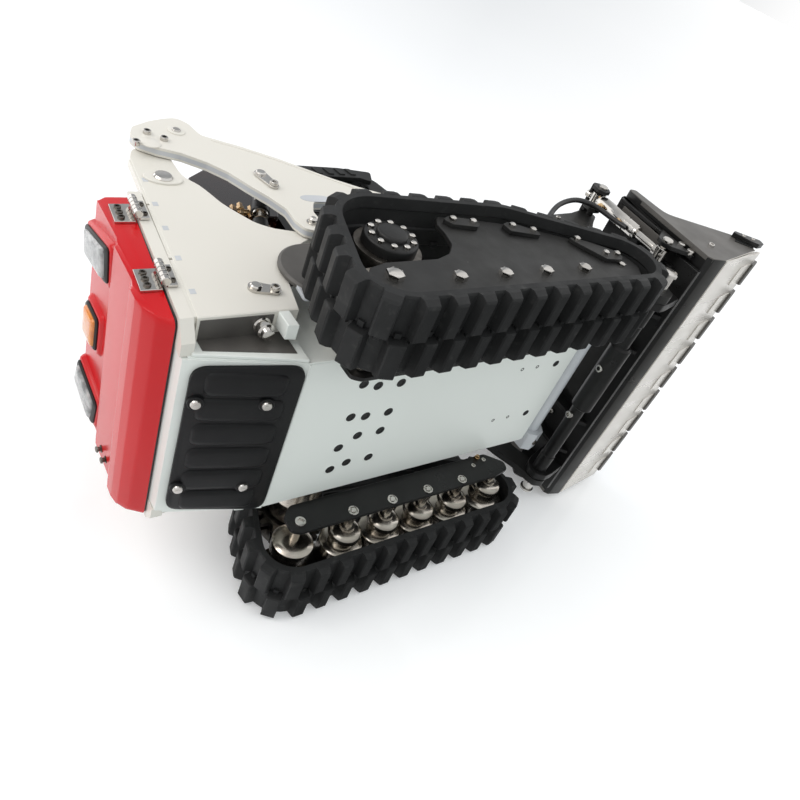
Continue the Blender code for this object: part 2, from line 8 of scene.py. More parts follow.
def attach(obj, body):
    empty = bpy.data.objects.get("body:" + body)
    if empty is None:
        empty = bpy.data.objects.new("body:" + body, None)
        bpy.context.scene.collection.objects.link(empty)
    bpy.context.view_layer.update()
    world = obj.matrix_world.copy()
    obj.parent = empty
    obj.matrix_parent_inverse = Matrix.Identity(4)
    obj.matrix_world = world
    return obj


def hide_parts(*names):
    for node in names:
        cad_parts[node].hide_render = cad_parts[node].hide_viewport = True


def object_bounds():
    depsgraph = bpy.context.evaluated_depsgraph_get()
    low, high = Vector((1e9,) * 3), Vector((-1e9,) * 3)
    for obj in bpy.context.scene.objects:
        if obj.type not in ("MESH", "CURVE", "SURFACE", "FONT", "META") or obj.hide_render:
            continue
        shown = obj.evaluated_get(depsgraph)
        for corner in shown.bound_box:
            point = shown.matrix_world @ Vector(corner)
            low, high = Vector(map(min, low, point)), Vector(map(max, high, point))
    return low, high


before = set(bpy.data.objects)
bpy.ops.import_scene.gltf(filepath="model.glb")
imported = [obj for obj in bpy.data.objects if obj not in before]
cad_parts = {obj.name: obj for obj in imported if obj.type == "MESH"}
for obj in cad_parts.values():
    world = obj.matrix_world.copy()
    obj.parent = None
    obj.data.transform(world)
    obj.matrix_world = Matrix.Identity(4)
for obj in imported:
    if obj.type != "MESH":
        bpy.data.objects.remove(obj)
cad_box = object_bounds()

MM = 0.001
Y_MID = 46.5            # the layout's y at the part's origin
SIDES = ((-1, "right"), (1, "left"))
scene = bpy.context.scene


def W(x, y, z):
    """A layout point in millimetres, with y from the belly plate's front edge, in the part's frame."""
    return Vector((x * MM, (y - Y_MID) * MM, z * MM))


# The outer faces of the plates that other pieces stand on, as distances from the middle plane.
TOWER_FACE = 41.0
ARM_FACE = 44.7
FOOT_FACE = 53.4
FRAME_FACE = 66.4
BLOCK_FACE = 67.9
INNER_FACE = 34.5
TIP = 0.02              # radius that closes the end of a turned piece


# ---------------------------------------------------------------- materials

class Shade:
    """A small helper that wires one Principled material."""

    def __init__(self, name, colour, rough, metal=0.0, coat=0.0, coat_rough=0.05, specular=0.5):
        self.mat = bpy.data.materials.new("look_" + name)
        self.mat.use_nodes = True
        self.tree = self.mat.node_tree
        self.bsdf = self.tree.nodes["Principled BSDF"]
        self.colour = colour
        self.bsdf.inputs["Base Color"].default_value = (*colour, 1.0)
        self.bsdf.inputs["Roughness"].default_value = rough
        self.bsdf.inputs["Metallic"].default_value = metal
        self.bsdf.inputs["Coat Weight"].default_value = coat
        self.bsdf.inputs["Coat Roughness"].default_value = coat_rough
        self.bsdf.inputs["Specular IOR Level"].default_value = specular
        self.rough = rough
        self.coord = self.node("ShaderNodeTexCoord").outputs["Object"]
        self.height = None

    def node(self, kind, **settings):
        made = self.tree.nodes.new(kind)
        for key, value in settings.items():
            setattr(made, key, value)
        return made

    def link(self, a, b):
        self.tree.links.new(a, b)

    def noise(self, scale, detail=4.0, stretch=None, seed=0.0):
        """Noise over the object's own coordinates; seed moves it, so two layers don't coincide."""
        vector = self.coord
        if stretch or seed:
            place = self.node("ShaderNodeMapping")
            place.inputs["Scale"].default_value = stretch or (1.0, 1.0, 1.0)
            place.inputs["Location"].default_value = (seed, seed * 0.7, -seed)
            self.link(vector, place.inputs["Vector"])
            vector = place.outputs["Vector"]
        tex = self.node("ShaderNodeTexNoise")
        tex.inputs["Scale"].default_value = scale
        tex.inputs["Detail"].default_value = detail
        self.link(vector, tex.inputs["Vector"])
        return tex.outputs["Fac"]

    def ranged(self, value, low, high, out_low, out_high):
        made = self.node("ShaderNodeMapRange")
        made.inputs["From Min"].default_value = low
        made.inputs["From Max"].default_value = high
        made.inputs["To Min"].default_value = out_low
        made.inputs["To Max"].default_value = out_high
        self.link(value, made.inputs["Value"])
        return made.outputs["Result"]

    def mix(self, factor, a, b):
        made = self.node("ShaderNodeMix", data_type="RGBA")
        self.link(factor, made.inputs[0])
        for slot, value in ((6, a), (7, b)):
            if hasattr(value, "links"):
                self.link(value, made.inputs[slot])
            else:
                made.inputs[slot].default_value = (*value, 1.0)
        return made.outputs[2]

    def tint(self, scale, dark):
        """Lets the colour drift between a darker tone and the look's own."""
        factor = self.ranged(self.noise(scale), 0.35, 0.65, 0.0, 1.0)
        self.out = self.mix(factor, dark, self.colour)
        self.link(self.out, self.bsdf.inputs["Base Color"])
        return self

    def speckle(self, scale, colour, low, high):
        """Small specks or dust of another colour over the tint."""
        factor = self.ranged(self.noise(scale, 6.0, seed=1.7), low, high, 0.0, 1.0)
        self.out = self.mix(factor, self.out, colour)
        self.link(self.out, self.bsdf.inputs["Base Color"])
        return self

    def gloss(self, scale, spread, stretch=None):
        """Lets the roughness drift by spread to either side."""
        value = self.ranged(self.noise(scale, 5.0, stretch, 3.1), 0.3, 0.7,
                            max(0.02, self.rough - spread), self.rough + spread)
        self.link(value, self.bsdf.inputs["Roughness"])
        return self

    def relief(self, height, depth):
        """Adds one more layer of bump on top of those that are there."""
        made = self.node("ShaderNodeBump")
        made.inputs["Distance"].default_value = depth
        self.link(height, made.inputs["Height"])
        if self.height is not None:
            self.link(self.height, made.inputs["Normal"])
        self.height = made.outputs["Normal"]
        self.link(self.height, self.bsdf.inputs["Normal"])
        return self

    def bump(self, scale, depth):
        """A fine irregular grain."""
        return self.relief(self.noise(scale, 3.0, seed=5.3), depth)

    def ribs(self, direction, scale, depth):
        """Fine parallel lines along one axis: turning marks, moulded grooves or flutes."""
        wave = self.node("ShaderNodeTexWave", wave_type="BANDS", bands_direction=direction)
        wave.inputs["Scale"].default_value = scale
        wave.inputs["Distortion"].default_value = 0.6
        wave.inputs["Detail"].default_value = 1.0
        self.link(self.coord, wave.inputs["Vector"])
        return self.relief(wave.outputs["Fac"], depth)


def looks():
    """Every material of the scene, by its short name."""
    made = {}
    ivory = Shade("ivory_paint", (0.77, 0.745, 0.685), 0.34, coat=0.2, coat_rough=0.12)
    made["ivory"] = ivory.tint(18.0, (0.755, 0.73, 0.67)).gloss(60.0, 0.03).bump(900.0, 0.000005)
    # The belly's copy of the white paint, tinted cooler than the ivory: painted bluish reflected light on
    # the shaded underside.
    pale = Shade("white_paint_cool_painted_reflection", (0.82, 0.85, 0.82), 0.30, coat=0.2, coat_rough=0.1)
    made["pale"] = pale.tint(16.0, (0.805, 0.835, 0.805)).gloss(60.0, 0.02).bump(900.0, 0.000004)
    red = Shade("red_paint", (0.60, 0.004, 0.008), 0.22, coat=0.12, coat_rough=0.04, specular=0.3)
    made["red"] = red.tint(25.0, (0.57, 0.003, 0.007)).gloss(40.0, 0.03).bump(800.0, 0.000004)
    black = Shade("black_paint", (0.010, 0.010, 0.010), 0.34, specular=0.32)
    made["black"] = black.tint(60.0, (0.006, 0.006, 0.006)).gloss(90.0, 0.08).bump(900.0, 0.00001)
    plate = Shade("matt_black_plate", (0.016, 0.016, 0.015), 0.48, specular=0.4)
    made["plate"] = plate.tint(45.0, (0.010, 0.010, 0.010)).speckle(700.0, (0.06, 0.06, 0.06), 0.72, 0.8)
    made["plate"].gloss(120.0, 0.08).bump(1400.0, 0.000012)
    cover = Shade("ribbed_cover", (0.008, 0.0085, 0.009), 0.42, specular=0.22)
    made["cover"] = cover.tint(50.0, (0.005, 0.005, 0.006)).gloss(70.0, 0.07).bump(1600.0, 0.000018)
    rubber = Shade("track_rubber", (0.021, 0.0215, 0.022), 0.6, specular=0.28)
    made["rubber"] = rubber.tint(70.0, (0.015, 0.0155, 0.016)).speckle(380.0, (0.04, 0.04, 0.039), 0.6, 0.8)
    made["rubber"].gloss(150.0, 0.1).bump(1100.0, 0.00003).bump(160.0, 0.00005)
    steel = Shade("polished_steel", (0.66, 0.62, 0.56), 0.20, 1.0)
    made["steel"] = steel.tint(90.0, (0.52, 0.47, 0.41)).gloss(200.0, 0.07, stretch=(0.2, 1.0, 1.0))
    made["steel"].ribs("X", 900.0, 0.000006)
    chrome = Shade("chrome", (0.66, 0.64, 0.61), 0.14, 1.0)
    made["chrome"] = chrome.tint(120.0, (0.50, 0.48, 0.45)).gloss(150.0, 0.04)
    worn = Shade("dark_steel", (0.20, 0.185, 0.165), 0.34, 1.0)
    made["dark_steel"] = worn.tint(260.0, (0.09, 0.08, 0.07)).gloss(300.0, 0.1).bump(900.0, 0.00002)
    brass = Shade("brass", (0.62, 0.45, 0.25), 0.22, 1.0)
    made["brass"] = brass.tint(200.0, (0.40, 0.25, 0.14)).gloss(200.0, 0.06)
    # Grey of the front tube, slots and brackets; also used as painted shade on the arms' middle layer.
    grey = Shade("grey_paint_and_painted_shade", (0.60, 0.62, 0.65), 0.33, coat=0.3, coat_rough=0.15)
    made["grey"] = grey.tint(40.0, (0.54, 0.56, 0.59)).gloss(90.0, 0.06).bump(900.0, 0.000012)
    # Dark grey of the bucket's cheeks, the coupler strips and the motor guards; also painted shade on the
    # tooth points and in the pocket under each shelf.
    side = Shade("dark_grey_and_painted_shade", (0.115, 0.108, 0.100), 0.42, 0.2)
    made["side"] = side.tint(60.0, (0.085, 0.080, 0.074)).gloss(90.0, 0.08).bump(1200.0, 0.000015)
    bare = Shade("bucket_floor", (0.70, 0.665, 0.62), 0.30, 0.55)
    made["floor"] = bare.tint(30.0, (0.64, 0.61, 0.565)).gloss(120.0, 0.08, stretch=(1.0, 0.1, 1.0))
    plastic = Shade("black_plastic", (0.011, 0.011, 0.011), 0.42, specular=0.35)
    made["plastic"] = plastic.tint(60.0, (0.007, 0.007, 0.007)).gloss(90.0, 0.08).bump(1500.0, 0.00002)
    hose = Shade("hose", (0.014, 0.014, 0.015), 0.38)
    made["hose"] = hose.tint(300.0, (0.010, 0.010, 0.010)).gloss(300.0, 0.08).bump(1500.0, 0.00001)
    seat = Shade("seat_vinyl", (0.030, 0.030, 0.032), 0.55)
    made["seat"] = seat.tint(80.0, (0.020, 0.020, 0.021)).gloss(150.0, 0.06).bump(1300.0, 0.00005)
    lens = Shade("clear_lens", (0.46, 0.47, 0.47), 0.12, coat=0.6, coat_rough=0.03)
    made["lens"] = lens.tint(300.0, (0.16, 0.165, 0.17)).gloss(300.0, 0.05).ribs("X", 420.0, 0.00012)
    amber = Shade("amber_lens", (0.86, 0.30, 0.012), 0.14, coat=1.0, coat_rough=0.03)
    made["amber"] = amber.tint(350.0, (0.72, 0.20, 0.006)).gloss(300.0, 0.05).ribs("X", 420.0, 0.00012)
    wrap = Shade("battery_wrap", (0.03, 0.06, 0.20), 0.45, coat=0.3)
    made["wrap"] = wrap.tint(90.0, (0.02, 0.045, 0.16)).gloss(120.0, 0.08).bump(500.0, 0.00006)
    glass = Shade("window_glass", (0.62, 0.66, 0.67), 0.03)
    glass.bsdf.inputs["Transmission Weight"].default_value = 0.92
    glass.bsdf.inputs["IOR"].default_value = 1.2
    made["glass"] = glass.gloss(80.0, 0.02)
    smoked = Shade("smoked_cover", (0.045, 0.014, 0.010), 0.12, coat=0.6)
    made["smoked"] = smoked.tint(30.0, (0.022, 0.008, 0.006)).gloss(60.0, 0.04)
    dark = Shade("dark_bay", (0.010, 0.010, 0.011), 0.6)
    made["dark"] = dark.tint(80.0, (0.006, 0.006, 0.006)).gloss(120.0, 0.08)
    return {key: value.mat for key, value in made.items()}


LOOK = looks()


# ---------------------------------------------------------------- mesh tools

class Kit:
    """Collects closed pieces of one look that ride on one body, and makes one object of them."""

    def __init__(self):
        self.bm = bmesh.new()

    def skin(self, rings, cap=True, closed=False):
        """Joins rings of points in order."""
        made = [[self.bm.verts.new(p) for p in ring] for ring in rings]
        count = len(made[0])
        faces = []
        pairs = list(zip(made[:-1], made[1:]))
        if closed:
            pairs.append((made[-1], made[0]))
        for one, two in pairs:
            for k in range(count):
                j = (k + 1) % count
                faces.append(self.bm.faces.new((one[k], one[j], two[j], two[k])))
        if cap and not closed:
            faces.append(self.bm.faces.new(made[0]))
            faces.append(self.bm.faces.new(made[-1]))
        bmesh.ops.recalc_face_normals(self.bm, faces=faces)
        return faces

    def plate(self, outline, x0, x1):
        """A plate in layout y and z, from x0 to x1."""
        return self.skin([[W(x, y, z) for y, z in outline] for x in (x0, x1)])

    def turned(self, at, axis, profile, segments=24, phase=0.5):
        """Turns (height, radius) pairs about axis from the layout point at; radii of 0 close the ends."""
        a = Vector(axis).normalized()
        side = a.orthogonal().normalized()
        up = a.cross(side)
        start = W(*at)
        rings = []
        for height, radius in profile:
            ring = []
            for k in range(segments):
                turn = math.tau * (k + phase) / segments
                out = side * math.cos(turn) + up * math.sin(turn)
                ring.append(start + (a * height + out * max(radius, 0.01)) * MM)
            rings.append(ring)
        return self.skin(rings)

    def bolt(self, at, axis, r, h):
        """A socket-head screw of radius r and height h: rounded rim and a six-sided recess."""
        a = Vector(axis).normalized()
        side = a.orthogonal().normalized()
        up = a.cross(side)
        start = W(*at)
        count = 24
        rings = []
        profile = [(-0.4, r), (h * 0.72, r), (h * 0.93, r * 0.95), (h, r * 0.84), (h, r * 0.56),
                   (h * 0.25, r * 0.5), (h * 0.2, TIP)]
        recess = (4, 5)
        for i, (height_at, radius_at) in enumerate(profile):
            ring = []
            for k in range(count):
                turn = math.tau * k / count
                reach = radius_at
                if i in recess:
                    local = (turn % (math.pi / 3)) - math.pi / 6
                    reach = radius_at * math.cos(math.pi / 6) / math.cos(local) * 1.08
                out = side * math.cos(turn) + up * math.sin(turn)
                ring.append(start + (a * height_at + out * reach) * MM)
            rings.append(ring)
        return self.skin(rings)

    def hex(self, at, axis, radius, height):
        """A six-sided nut with chamfered corners."""
        profile = [(0.0, radius * 0.94), (height * 0.15, radius), (height * 0.85, radius),
                   (height, radius * 0.9)]
        self.turned(at, axis, profile, 6, 0.0)

    def dome(self, at, axis, radius, height):
        """A bolt head: six chamfered sides and a shallow dome."""
        self.turned(at, axis, [(-0.4, radius), (height * 0.62, radius), (height * 0.72, radius * 0.96)], 6,
                    0.0)
        profile = [(height * 0.5, radius * 0.84), (height * 0.74, radius * 0.84),
                   (height * 0.92, radius * 0.62), (height, radius * 0.3), (height, TIP)]
        self.turned(at, axis, profile, 24)

    def pipe(self, points, radius, segments=10):
        """A round tube along layout points, mitred by averaged directions."""
        line = [W(*p) for p in points]
        rings = []
        up = None
        for i, p in enumerate(line):
            ahead = line[min(i + 1, len(line) - 1)] - line[max(i - 1, 0)]
            ahead.normalize()
            if up is None:
                up = ahead.orthogonal().normalized()
            up = (up - ahead * up.dot(ahead)).normalized()
            side = ahead.cross(up)
            rings.append([p + (up * math.cos(math.tau * k / segments)
                               + side * math.sin(math.tau * k / segments)) * radius * MM
                          for k in range(segments)])
        return self.skin(rings)

    def slab(self, corners, normal, low, high):
        """A flat piece whose corners are layout points, thickened along normal from low to high."""
        n = Vector(normal).normalized() * MM
        return self.skin([[W(*p) + n * low for p in corners], [W(*p) + n * high for p in corners]])

    def make(self, name, look, body, replaces=(), bevel=0.0, steps=2, angle=34.0):
        """Turns what was collected into one object that rides a body."""
        mesh = bpy.data.meshes.new(name)
        self.bm.to_mesh(mesh)
        self.bm.free()
        obj = bpy.data.objects.new(name, mesh)
        scene.collection.objects.link(obj)
        mesh.materials.append(LOOK[look])
        mesh.shade_smooth()
        mesh.set_sharp_from_angle(angle=math.radians(angle))
        if bevel:
            round_edges(obj, bevel, steps)
        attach(obj, body)
        if replaces:
            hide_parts(*replaces)
        return obj


def round_edges(obj, width, steps):
    """A bevel on every edge sharper than 32 degrees."""
    mod = obj.modifiers.new("edge_rounding", "BEVEL")
    mod.width = width * MM
    mod.segments = steps
    mod.limit_method = "ANGLE"
    mod.angle_limit = math.radians(32.0)
    mod.harden_normals = True
    mod.use_clamp_overlap = True


def dress(node, look, bevel, steps=2):
    """Gives a kept CAD node its real finish and rounded edges."""
    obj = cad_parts[node]
    obj.data.materials.clear()
    obj.data.materials.append(LOOK[look])
    round_edges(obj, bevel, steps)


def upright(x, half, y, low, high):
    """The corners of an upright rectangle that faces along y."""
    return [W(x - half, y, low), W(x + half, y, low), W(x + half, y, high), W(x - half, y, high)]


def level(x, half, y0, y1, z):
    """The corners of a level rectangle."""
    return [W(x - half, y0, z), W(x + half, y0, z), W(x + half, y1, z), W(x - half, y1, z)]


def spline(points, per_span):
    """A smooth curve through the given points, as tuples."""
    made = []
    ends = [points[0]] + list(points) + [points[-1]]
    for i in range(1, len(ends) - 2):
        p0, p1, p2, p3 = (Vector(ends[i + k]) for k in (-1, 0, 1, 2))
        for k in range(per_span):
            t = k / per_span
            a = 2 * p1 + (p2 - p0) * t
            b = (2 * p0 - 5 * p1 + 4 * p2 - p3) * t * t
            c = (3 * p1 - p0 - 3 * p2 + p3) * t * t * t
            made.append(tuple((a + b + c) / 2))
    made.append(tuple(points[-1]))
    return made


def rounded(outline, radius, steps=4):
    """The same polygon with its corners rounded; radius is one number or one for each corner."""
    made = []
    count = len(outline)
    for i in range(count):
        r = radius[i] if isinstance(radius, (list, tuple)) else radius
        before = Vector(outline[i - 1])
        here = Vector(outline[i])
        after = Vector(outline[(i + 1) % count])
        if r <= 0:
            made.append(tuple(here))
            continue
        a = before - here
        b = after - here
        half = a.angle(b) / 2
        reach = min(r / max(math.tan(half), 1e-6), a.length * 0.48, b.length * 0.48)
        start = here + a.normalized() * reach
        end = here + b.normalized() * reach
        for k in range(steps + 1):
            t = k / steps
            made.append(tuple(start * (1 - t) ** 2 + here * 2 * t * (1 - t) + end * t * t))
    return made


# ---------------------------------------------------------------- camera, light and floor

def camera():
    """The camera looks up at the machine from below and behind, and is rolled onto its side."""
    data = bpy.data.cameras.new("camera")
    data.lens = 32.68
    data.sensor_width = 36.0
    data.clip_start = 0.01
    obj = bpy.data.objects.new("camera", data)
    right = Vector((-0.32417, -0.79435, -0.51373))
    up = Vector((-0.71489, -0.14995, 0.68297))
    back = Vector((-0.61955, 0.58866, -0.51926))
    obj.matrix_world = Matrix((
        (right.x, up.x, back.x, -0.158797),
        (right.y, up.y, back.y, 0.178950),
        (right.z, up.z, back.z, -0.100767),
        (0.0, 0.0, 0.0, 1.0)))
    scene.collection.objects.link(obj)
    scene.camera = obj


def area(name, at, aim, size, power, colour=(1.0, 1.0, 1.0)):
    """A soft rectangular lamp that the camera doesn't see."""
    data = bpy.data.lights.new(name, "AREA")
    data.shape = "RECTANGLE"
    data.size = size[0]
    data.size_y = size[1]
    data.energy = power
    data.color = colour
    obj = bpy.data.objects.new(name, data)
    start = Vector(at)
    obj.location = start
    obj.rotation_euler = (Vector(aim) - start).to_track_quat("-Z", "Y").to_euler()
    scene.collection.objects.link(obj)
    obj.visible_camera = False


def one_sided(name, corners, colour):
    """A pale plane that shows only from its front."""
    mesh = bpy.data.meshes.new(name)
    mesh.from_pydata(corners, [], [(0, 1, 2, 3)])
    obj = bpy.data.objects.new(name, mesh)
    scene.collection.objects.link(obj)
    mat = bpy.data.materials.new("look_" + name)
    mat.use_nodes = True
    tree = mat.node_tree
    bsdf = tree.nodes["Principled BSDF"]
    bsdf.inputs["Base Color"].default_value = (*colour, 1.0)
    bsdf.inputs["Roughness"].default_value = 0.10
    bsdf.inputs["Emission Color"].default_value = (1.0, 1.0, 1.0, 1.0)
    bsdf.inputs["Emission Strength"].default_value = 0.17
    bsdf.inputs["Specular IOR Level"].default_value = 0.35
    away = tree.nodes.new("ShaderNodeBsdfTransparent")
    blend = tree.nodes.new("ShaderNodeMixShader")
    face = tree.nodes.new("ShaderNodeNewGeometry")
    tree.links.new(face.outputs["Backfacing"], blend.inputs["Fac"])
    tree.links.new(bsdf.outputs["BSDF"], blend.inputs[1])
    tree.links.new(away.outputs["BSDF"], blend.inputs[2])
    tree.links.new(blend.outputs["Shader"], tree.nodes["Material Output"].inputs["Surface"])
    mesh.materials.append(mat)
    return obj


def studio():
    """A pale surround, two pale surfaces and three soft lamps."""
    world = bpy.data.worlds.new("studio")
    scene.world = world
    world.use_nodes = True
    sky = world.node_tree.nodes["Background"]
    sky.inputs["Strength"].default_value = 1.0
    # White round the horizon, dimmer overhead and underneath.
    tree = world.node_tree
    where = tree.nodes.new("ShaderNodeTexCoord")
    split = tree.nodes.new("ShaderNodeSeparateXYZ")
    ramp = tree.nodes.new("ShaderNodeValToRGB")
    shift = tree.nodes.new("ShaderNodeMath")
    shift.operation = "MULTIPLY_ADD"
    shift.inputs[1].default_value = 0.5
    shift.inputs[2].default_value = 0.5
    tree.links.new(where.outputs["Generated"], split.inputs["Vector"])
    tree.links.new(split.outputs["Z"], shift.inputs[0])
    tree.links.new(shift.outputs["Value"], ramp.inputs["Fac"])
    tree.links.new(ramp.outputs["Color"], sky.inputs["Color"])
    stops = ((0.0, (0.56, 0.60, 0.60)), (0.20, (0.78, 0.81, 0.80)), (0.40, (1.0, 1.0, 1.0)),
             (0.74, (1.0, 1.0, 1.0)), (0.86, (0.42, 0.44, 0.46)), (1.0, (0.75, 0.76, 0.78)))
    ramp.color_ramp.elements[0].position = stops[0][0]
    ramp.color_ramp.elements[1].position = stops[-1][0]
    for place, _ in stops[1:-1]:
        ramp.color_ramp.elements.new(place)
    for element, (_, colour) in zip(ramp.color_ramp.elements, stops):
        element.color = (*colour, 1.0)
    scene.view_settings.view_transform = "Standard"
    # The machine stands on one floor; the other is the surface that its left side lies on.
    reach = 3.0
    ground = one_sided("ground", [(-reach, -reach, 0.0), (reach, -reach, 0.0), (reach, reach, 0.0),
                                  (-reach, reach, 0.0)], (0.93, 0.935, 0.94))
    ground.visible_shadow = False
    ground.visible_diffuse = False
    side = cad_box[1][0] + 0.0004
    wall = one_sided("wall", [(side, -reach, -reach), (side, -reach, reach), (side, reach, reach),
                              (side, reach, -reach)], (0.93, 0.94, 0.955))
    wall.visible_shadow = False
    wall.visible_diffuse = False
    area("key", (-0.55, 0.55, 0.25), (0.0, 0.03, 0.05), (0.35, 0.5), 1.6, (1.0, 0.97, 0.93))
    area("fill", (-0.5, -0.35, -0.35), (0.0, 0.0, 0.04), (0.6, 0.5), 0.7, (0.95, 0.98, 1.0))
    area("rim", (-0.2, 0.3, 0.75), (0.0, 0.0, 0.08), (0.6, 0.4), 1.0, (1.0, 0.98, 0.96))


camera()
studio()


# ---------------------------------------------------------------- chassis, belly and cover

BELLY_Z = 24.5
KNEE = 124.0
SLOPE = math.atan2(8.5, 34.0)
ALONG = Vector((0.0, math.cos(SLOPE), math.sin(SLOPE)))
DOWN = Vector((0.0, math.sin(SLOPE), -math.cos(SLOPE)))


def on_tail(x, s, drop):
    """A layout point on the sloping tail: across, along the slope and below it."""
    p = Vector((0.0, KNEE, BELLY_Z)) + ALONG * s + DOWN * drop
    return (x, p.y, p.z)


def belly():
    """The belly plate's screws, seam and side flanges."""
    dress("chassis_tub", "pale", 0.35)
    dress("rear_frame", "ivory", 0.35)
    # Large countersunk screws: a dark dished head in a pale rim.
    large = [(-20.0, 101.8), (-18.2, 95.7), (-17.8, 86.4), (-5.5, 101.8), (-4.6, 95.7), (-4.5, 86.4),
             (4.6, 95.7), (4.5, 86.4), (9.1, 101.8), (20.0, 101.8), (18.1, 95.7), (18.1, 86.4)]
    heads = Kit()
    rims = Kit()
    for x, y in large:
        heads.bolt((x, y, BELLY_Z), (0, 0, -1), 1.75, 0.22)
        profile = [(-0.3, 2.3), (0.04, 2.3), (0.1, 2.1), (0.1, 1.78), (-0.3, 1.7)]
        rims.turned((x, y, BELLY_Z), (0, 0, -1), profile)
    for x in (-13.6, 13.6):
        heads.bolt((x, 8.9, BELLY_Z), (0, 0, -1), 1.5, 0.2)
        profile = [(-0.3, 2.0), (0.04, 2.0), (0.1, 1.8), (0.1, 1.53), (-0.3, 1.5)]
        rims.turned((x, 8.9, BELLY_Z), (0, 0, -1), profile)
        for y in (19.4, 27.6):
            heads.turned((x, y, BELLY_Z), (0, 0, -1), [(-0.2, 0.8), (0.06, 0.8), (0.02, 0.5), (-0.1, TIP)],
                         14)
    heads.make("belly_screws", "dark", "chassis")
    rims.make("belly_screw_rims", "pale", "chassis")
    # Folded seam where the flat belly meets the sloping tail, and the flange along each side.
    seam = Kit()
    seam.pipe([(-31.4, KNEE, BELLY_Z - 0.02), (31.4, KNEE, BELLY_Z - 0.02)], 0.35, 8)
    for side in (-1, 1):
        seam.plate([(1.0, 24.6), (KNEE, 24.6), (156.5, 32.9), (156.5, 34.0), (KNEE, 25.9), (1.0, 25.9)],
                   side * 31.3, side * 32.1)
    seam.make("belly_folds", "pale", "chassis", bevel=0.15)


def cover():
    """The ribbed black cover under the tail: a rounded tray with pads between the grooves."""
    tray = Kit()
    outline = rounded([(-31.6, 0.9), (31.6, 0.9), (29.6, 32.4), (-29.6, 32.4)], [4.5, 4.5, 5.0, 5.0], 6)
    inset = rounded([(-30.5, 2.0), (30.5, 2.0), (28.6, 31.4), (-28.6, 31.4)], [4.0, 4.0, 4.4, 4.4], 6)
    rings = []
    for shape, drop in ((outline, 0.1), (outline, 1.25), (inset, 1.75)):
        rings.append([W(*on_tail(x, s, drop)) for x, s in shape])
    tray.skin(rings)
    pads = 6
    half = 4.35
    for i in range(pads):
        middle = -25.6 + 10.24 * i
        at_end = i in (0, pads - 1)
        front = 4.6 + (0.7 if at_end else 0.0)
        rear = 29.6 - (0.9 if at_end else 0.0)
        taper = 1.0 - 0.035 * abs(middle) / 25.0
        shape = rounded([(-half, front), (half, front), (half, rear), (-half, rear)], 2.9, 6)
        rings = []
        for shrink, drop in ((0.0, 1.6), (0.25, 2.15), (0.9, 2.5), (1.9, 2.62)):
            ring = []
            for x, s in shape:
                k = 1.0 - shrink / half
                mid = (front + rear) / 2
                length = 1.0 - shrink / ((rear - front) / 2)
                ring.append(W(*on_tail(middle * taper + x * k, mid + (s - mid) * length, drop)))
            rings.append(ring)
        tray.skin(rings)
    tray.make("tail_cover", "cover", "chassis", ("belly_cover",), angle=40)
    screws = Kit()
    washers = Kit()
    for x in (-18.0, 18.0):
        for s, drop in ((10.2, 2.6), (30.0, 2.5)):
            at = on_tail(x, s, drop)
            washers.turned(at, DOWN, [(-0.8, 2.35), (0.05, 2.35), (0.25, 2.1), (0.25, 1.5), (-0.5, 1.4)],
                           24)
            screws.turned(at, DOWN, [(-0.6, 1.62), (0.5, 1.62), (0.9, 1.35), (1.05, 0.8), (1.05, TIP)], 24)
            screws.turned(on_tail(x, s, drop + 1.0), DOWN, [(-0.2, 0.75), (0.12, 0.7), (0.12, TIP)], 6)
    screws.make("cover_screws", "chrome", "chassis")
    washers.make("cover_washers", "cover", "chassis")


def bumper_tube():
    """The grey tube between two blocks at the front, with its screws."""
    tube = Kit()
    tube.turned((0, -5.5, 27.5), (1, 0, 0), [(-28.0, 3.6), (28.0, 3.6)], 40)
    block = rounded([(-11.2, 26.2), (-9.0, 22.4), (-4.0, 21.0), (-0.3, 23.0), (-0.3, 33.2), (-3.0, 34.8),
                     (-8.6, 33.8)], 1.0, 3)
    tube.plate(block, -36.6, -27.4)
    tube.plate(block, 27.4, 36.6)
    tube.make("front_tube", "grey", "chassis", ("cross_tube",), bevel=0.4)
    caps = Kit()
    for side in (-1, 1):
        caps.bolt((side * 36.6, -5.5, 27.5), (side, 0, 0), 2.2, 1.0)
        caps.bolt((side * 32.0, -5.0, 21.2), (0, 0, -1), 1.2, 0.5)
    caps.make("front_tube_screws", "dark_steel", "chassis")


# ---------------------------------------------------------------- rear: towers, hood, lamps

def joint_face(z):
    """The y of the plane where the hood meets the towers, at a height."""
    return 158.6 - 0.1 * (z - 38.0)


def tower_edge(z):
    """The y of the tower's rear edge at a height."""
    return 153.5 - (z - 40.0) * (8.7 / 80.0)


def pin_keeper(kit, x, side, pin, tail, radius=2.5, thick=0.9):
    """A round pin held by a flat keeper plate with a screw at its other end."""
    a = Vector((0.0, *pin))
    b = Vector((0.0, *tail))
    along = (b - a).normalized()
    across = Vector((0.0, -along.z, along.y))
    outline = []
    for centre, facing, r in ((a, -1.0, radius), (b, 1.0, radius * 0.82)):
        for k in range(9):
            turn = math.pi * k / 8 - math.pi / 2
            out = along * math.cos(turn) * facing + across * math.sin(turn) * facing
            p = centre + out * r
            outline.append((p.y, p.z))
    kit.plate(outline, x, x + side * thick)
    profile = [(-0.5, radius * 0.78), (0.5, radius * 0.78), (0.8, radius * 0.6), (0.8, TIP)]
    kit.turned((x + side * thick, *pin), (side, 0, 0), profile, 24)
    kit.bolt((x + side * thick, *tail), (side, 0, 0), radius * 0.62, 1.2)


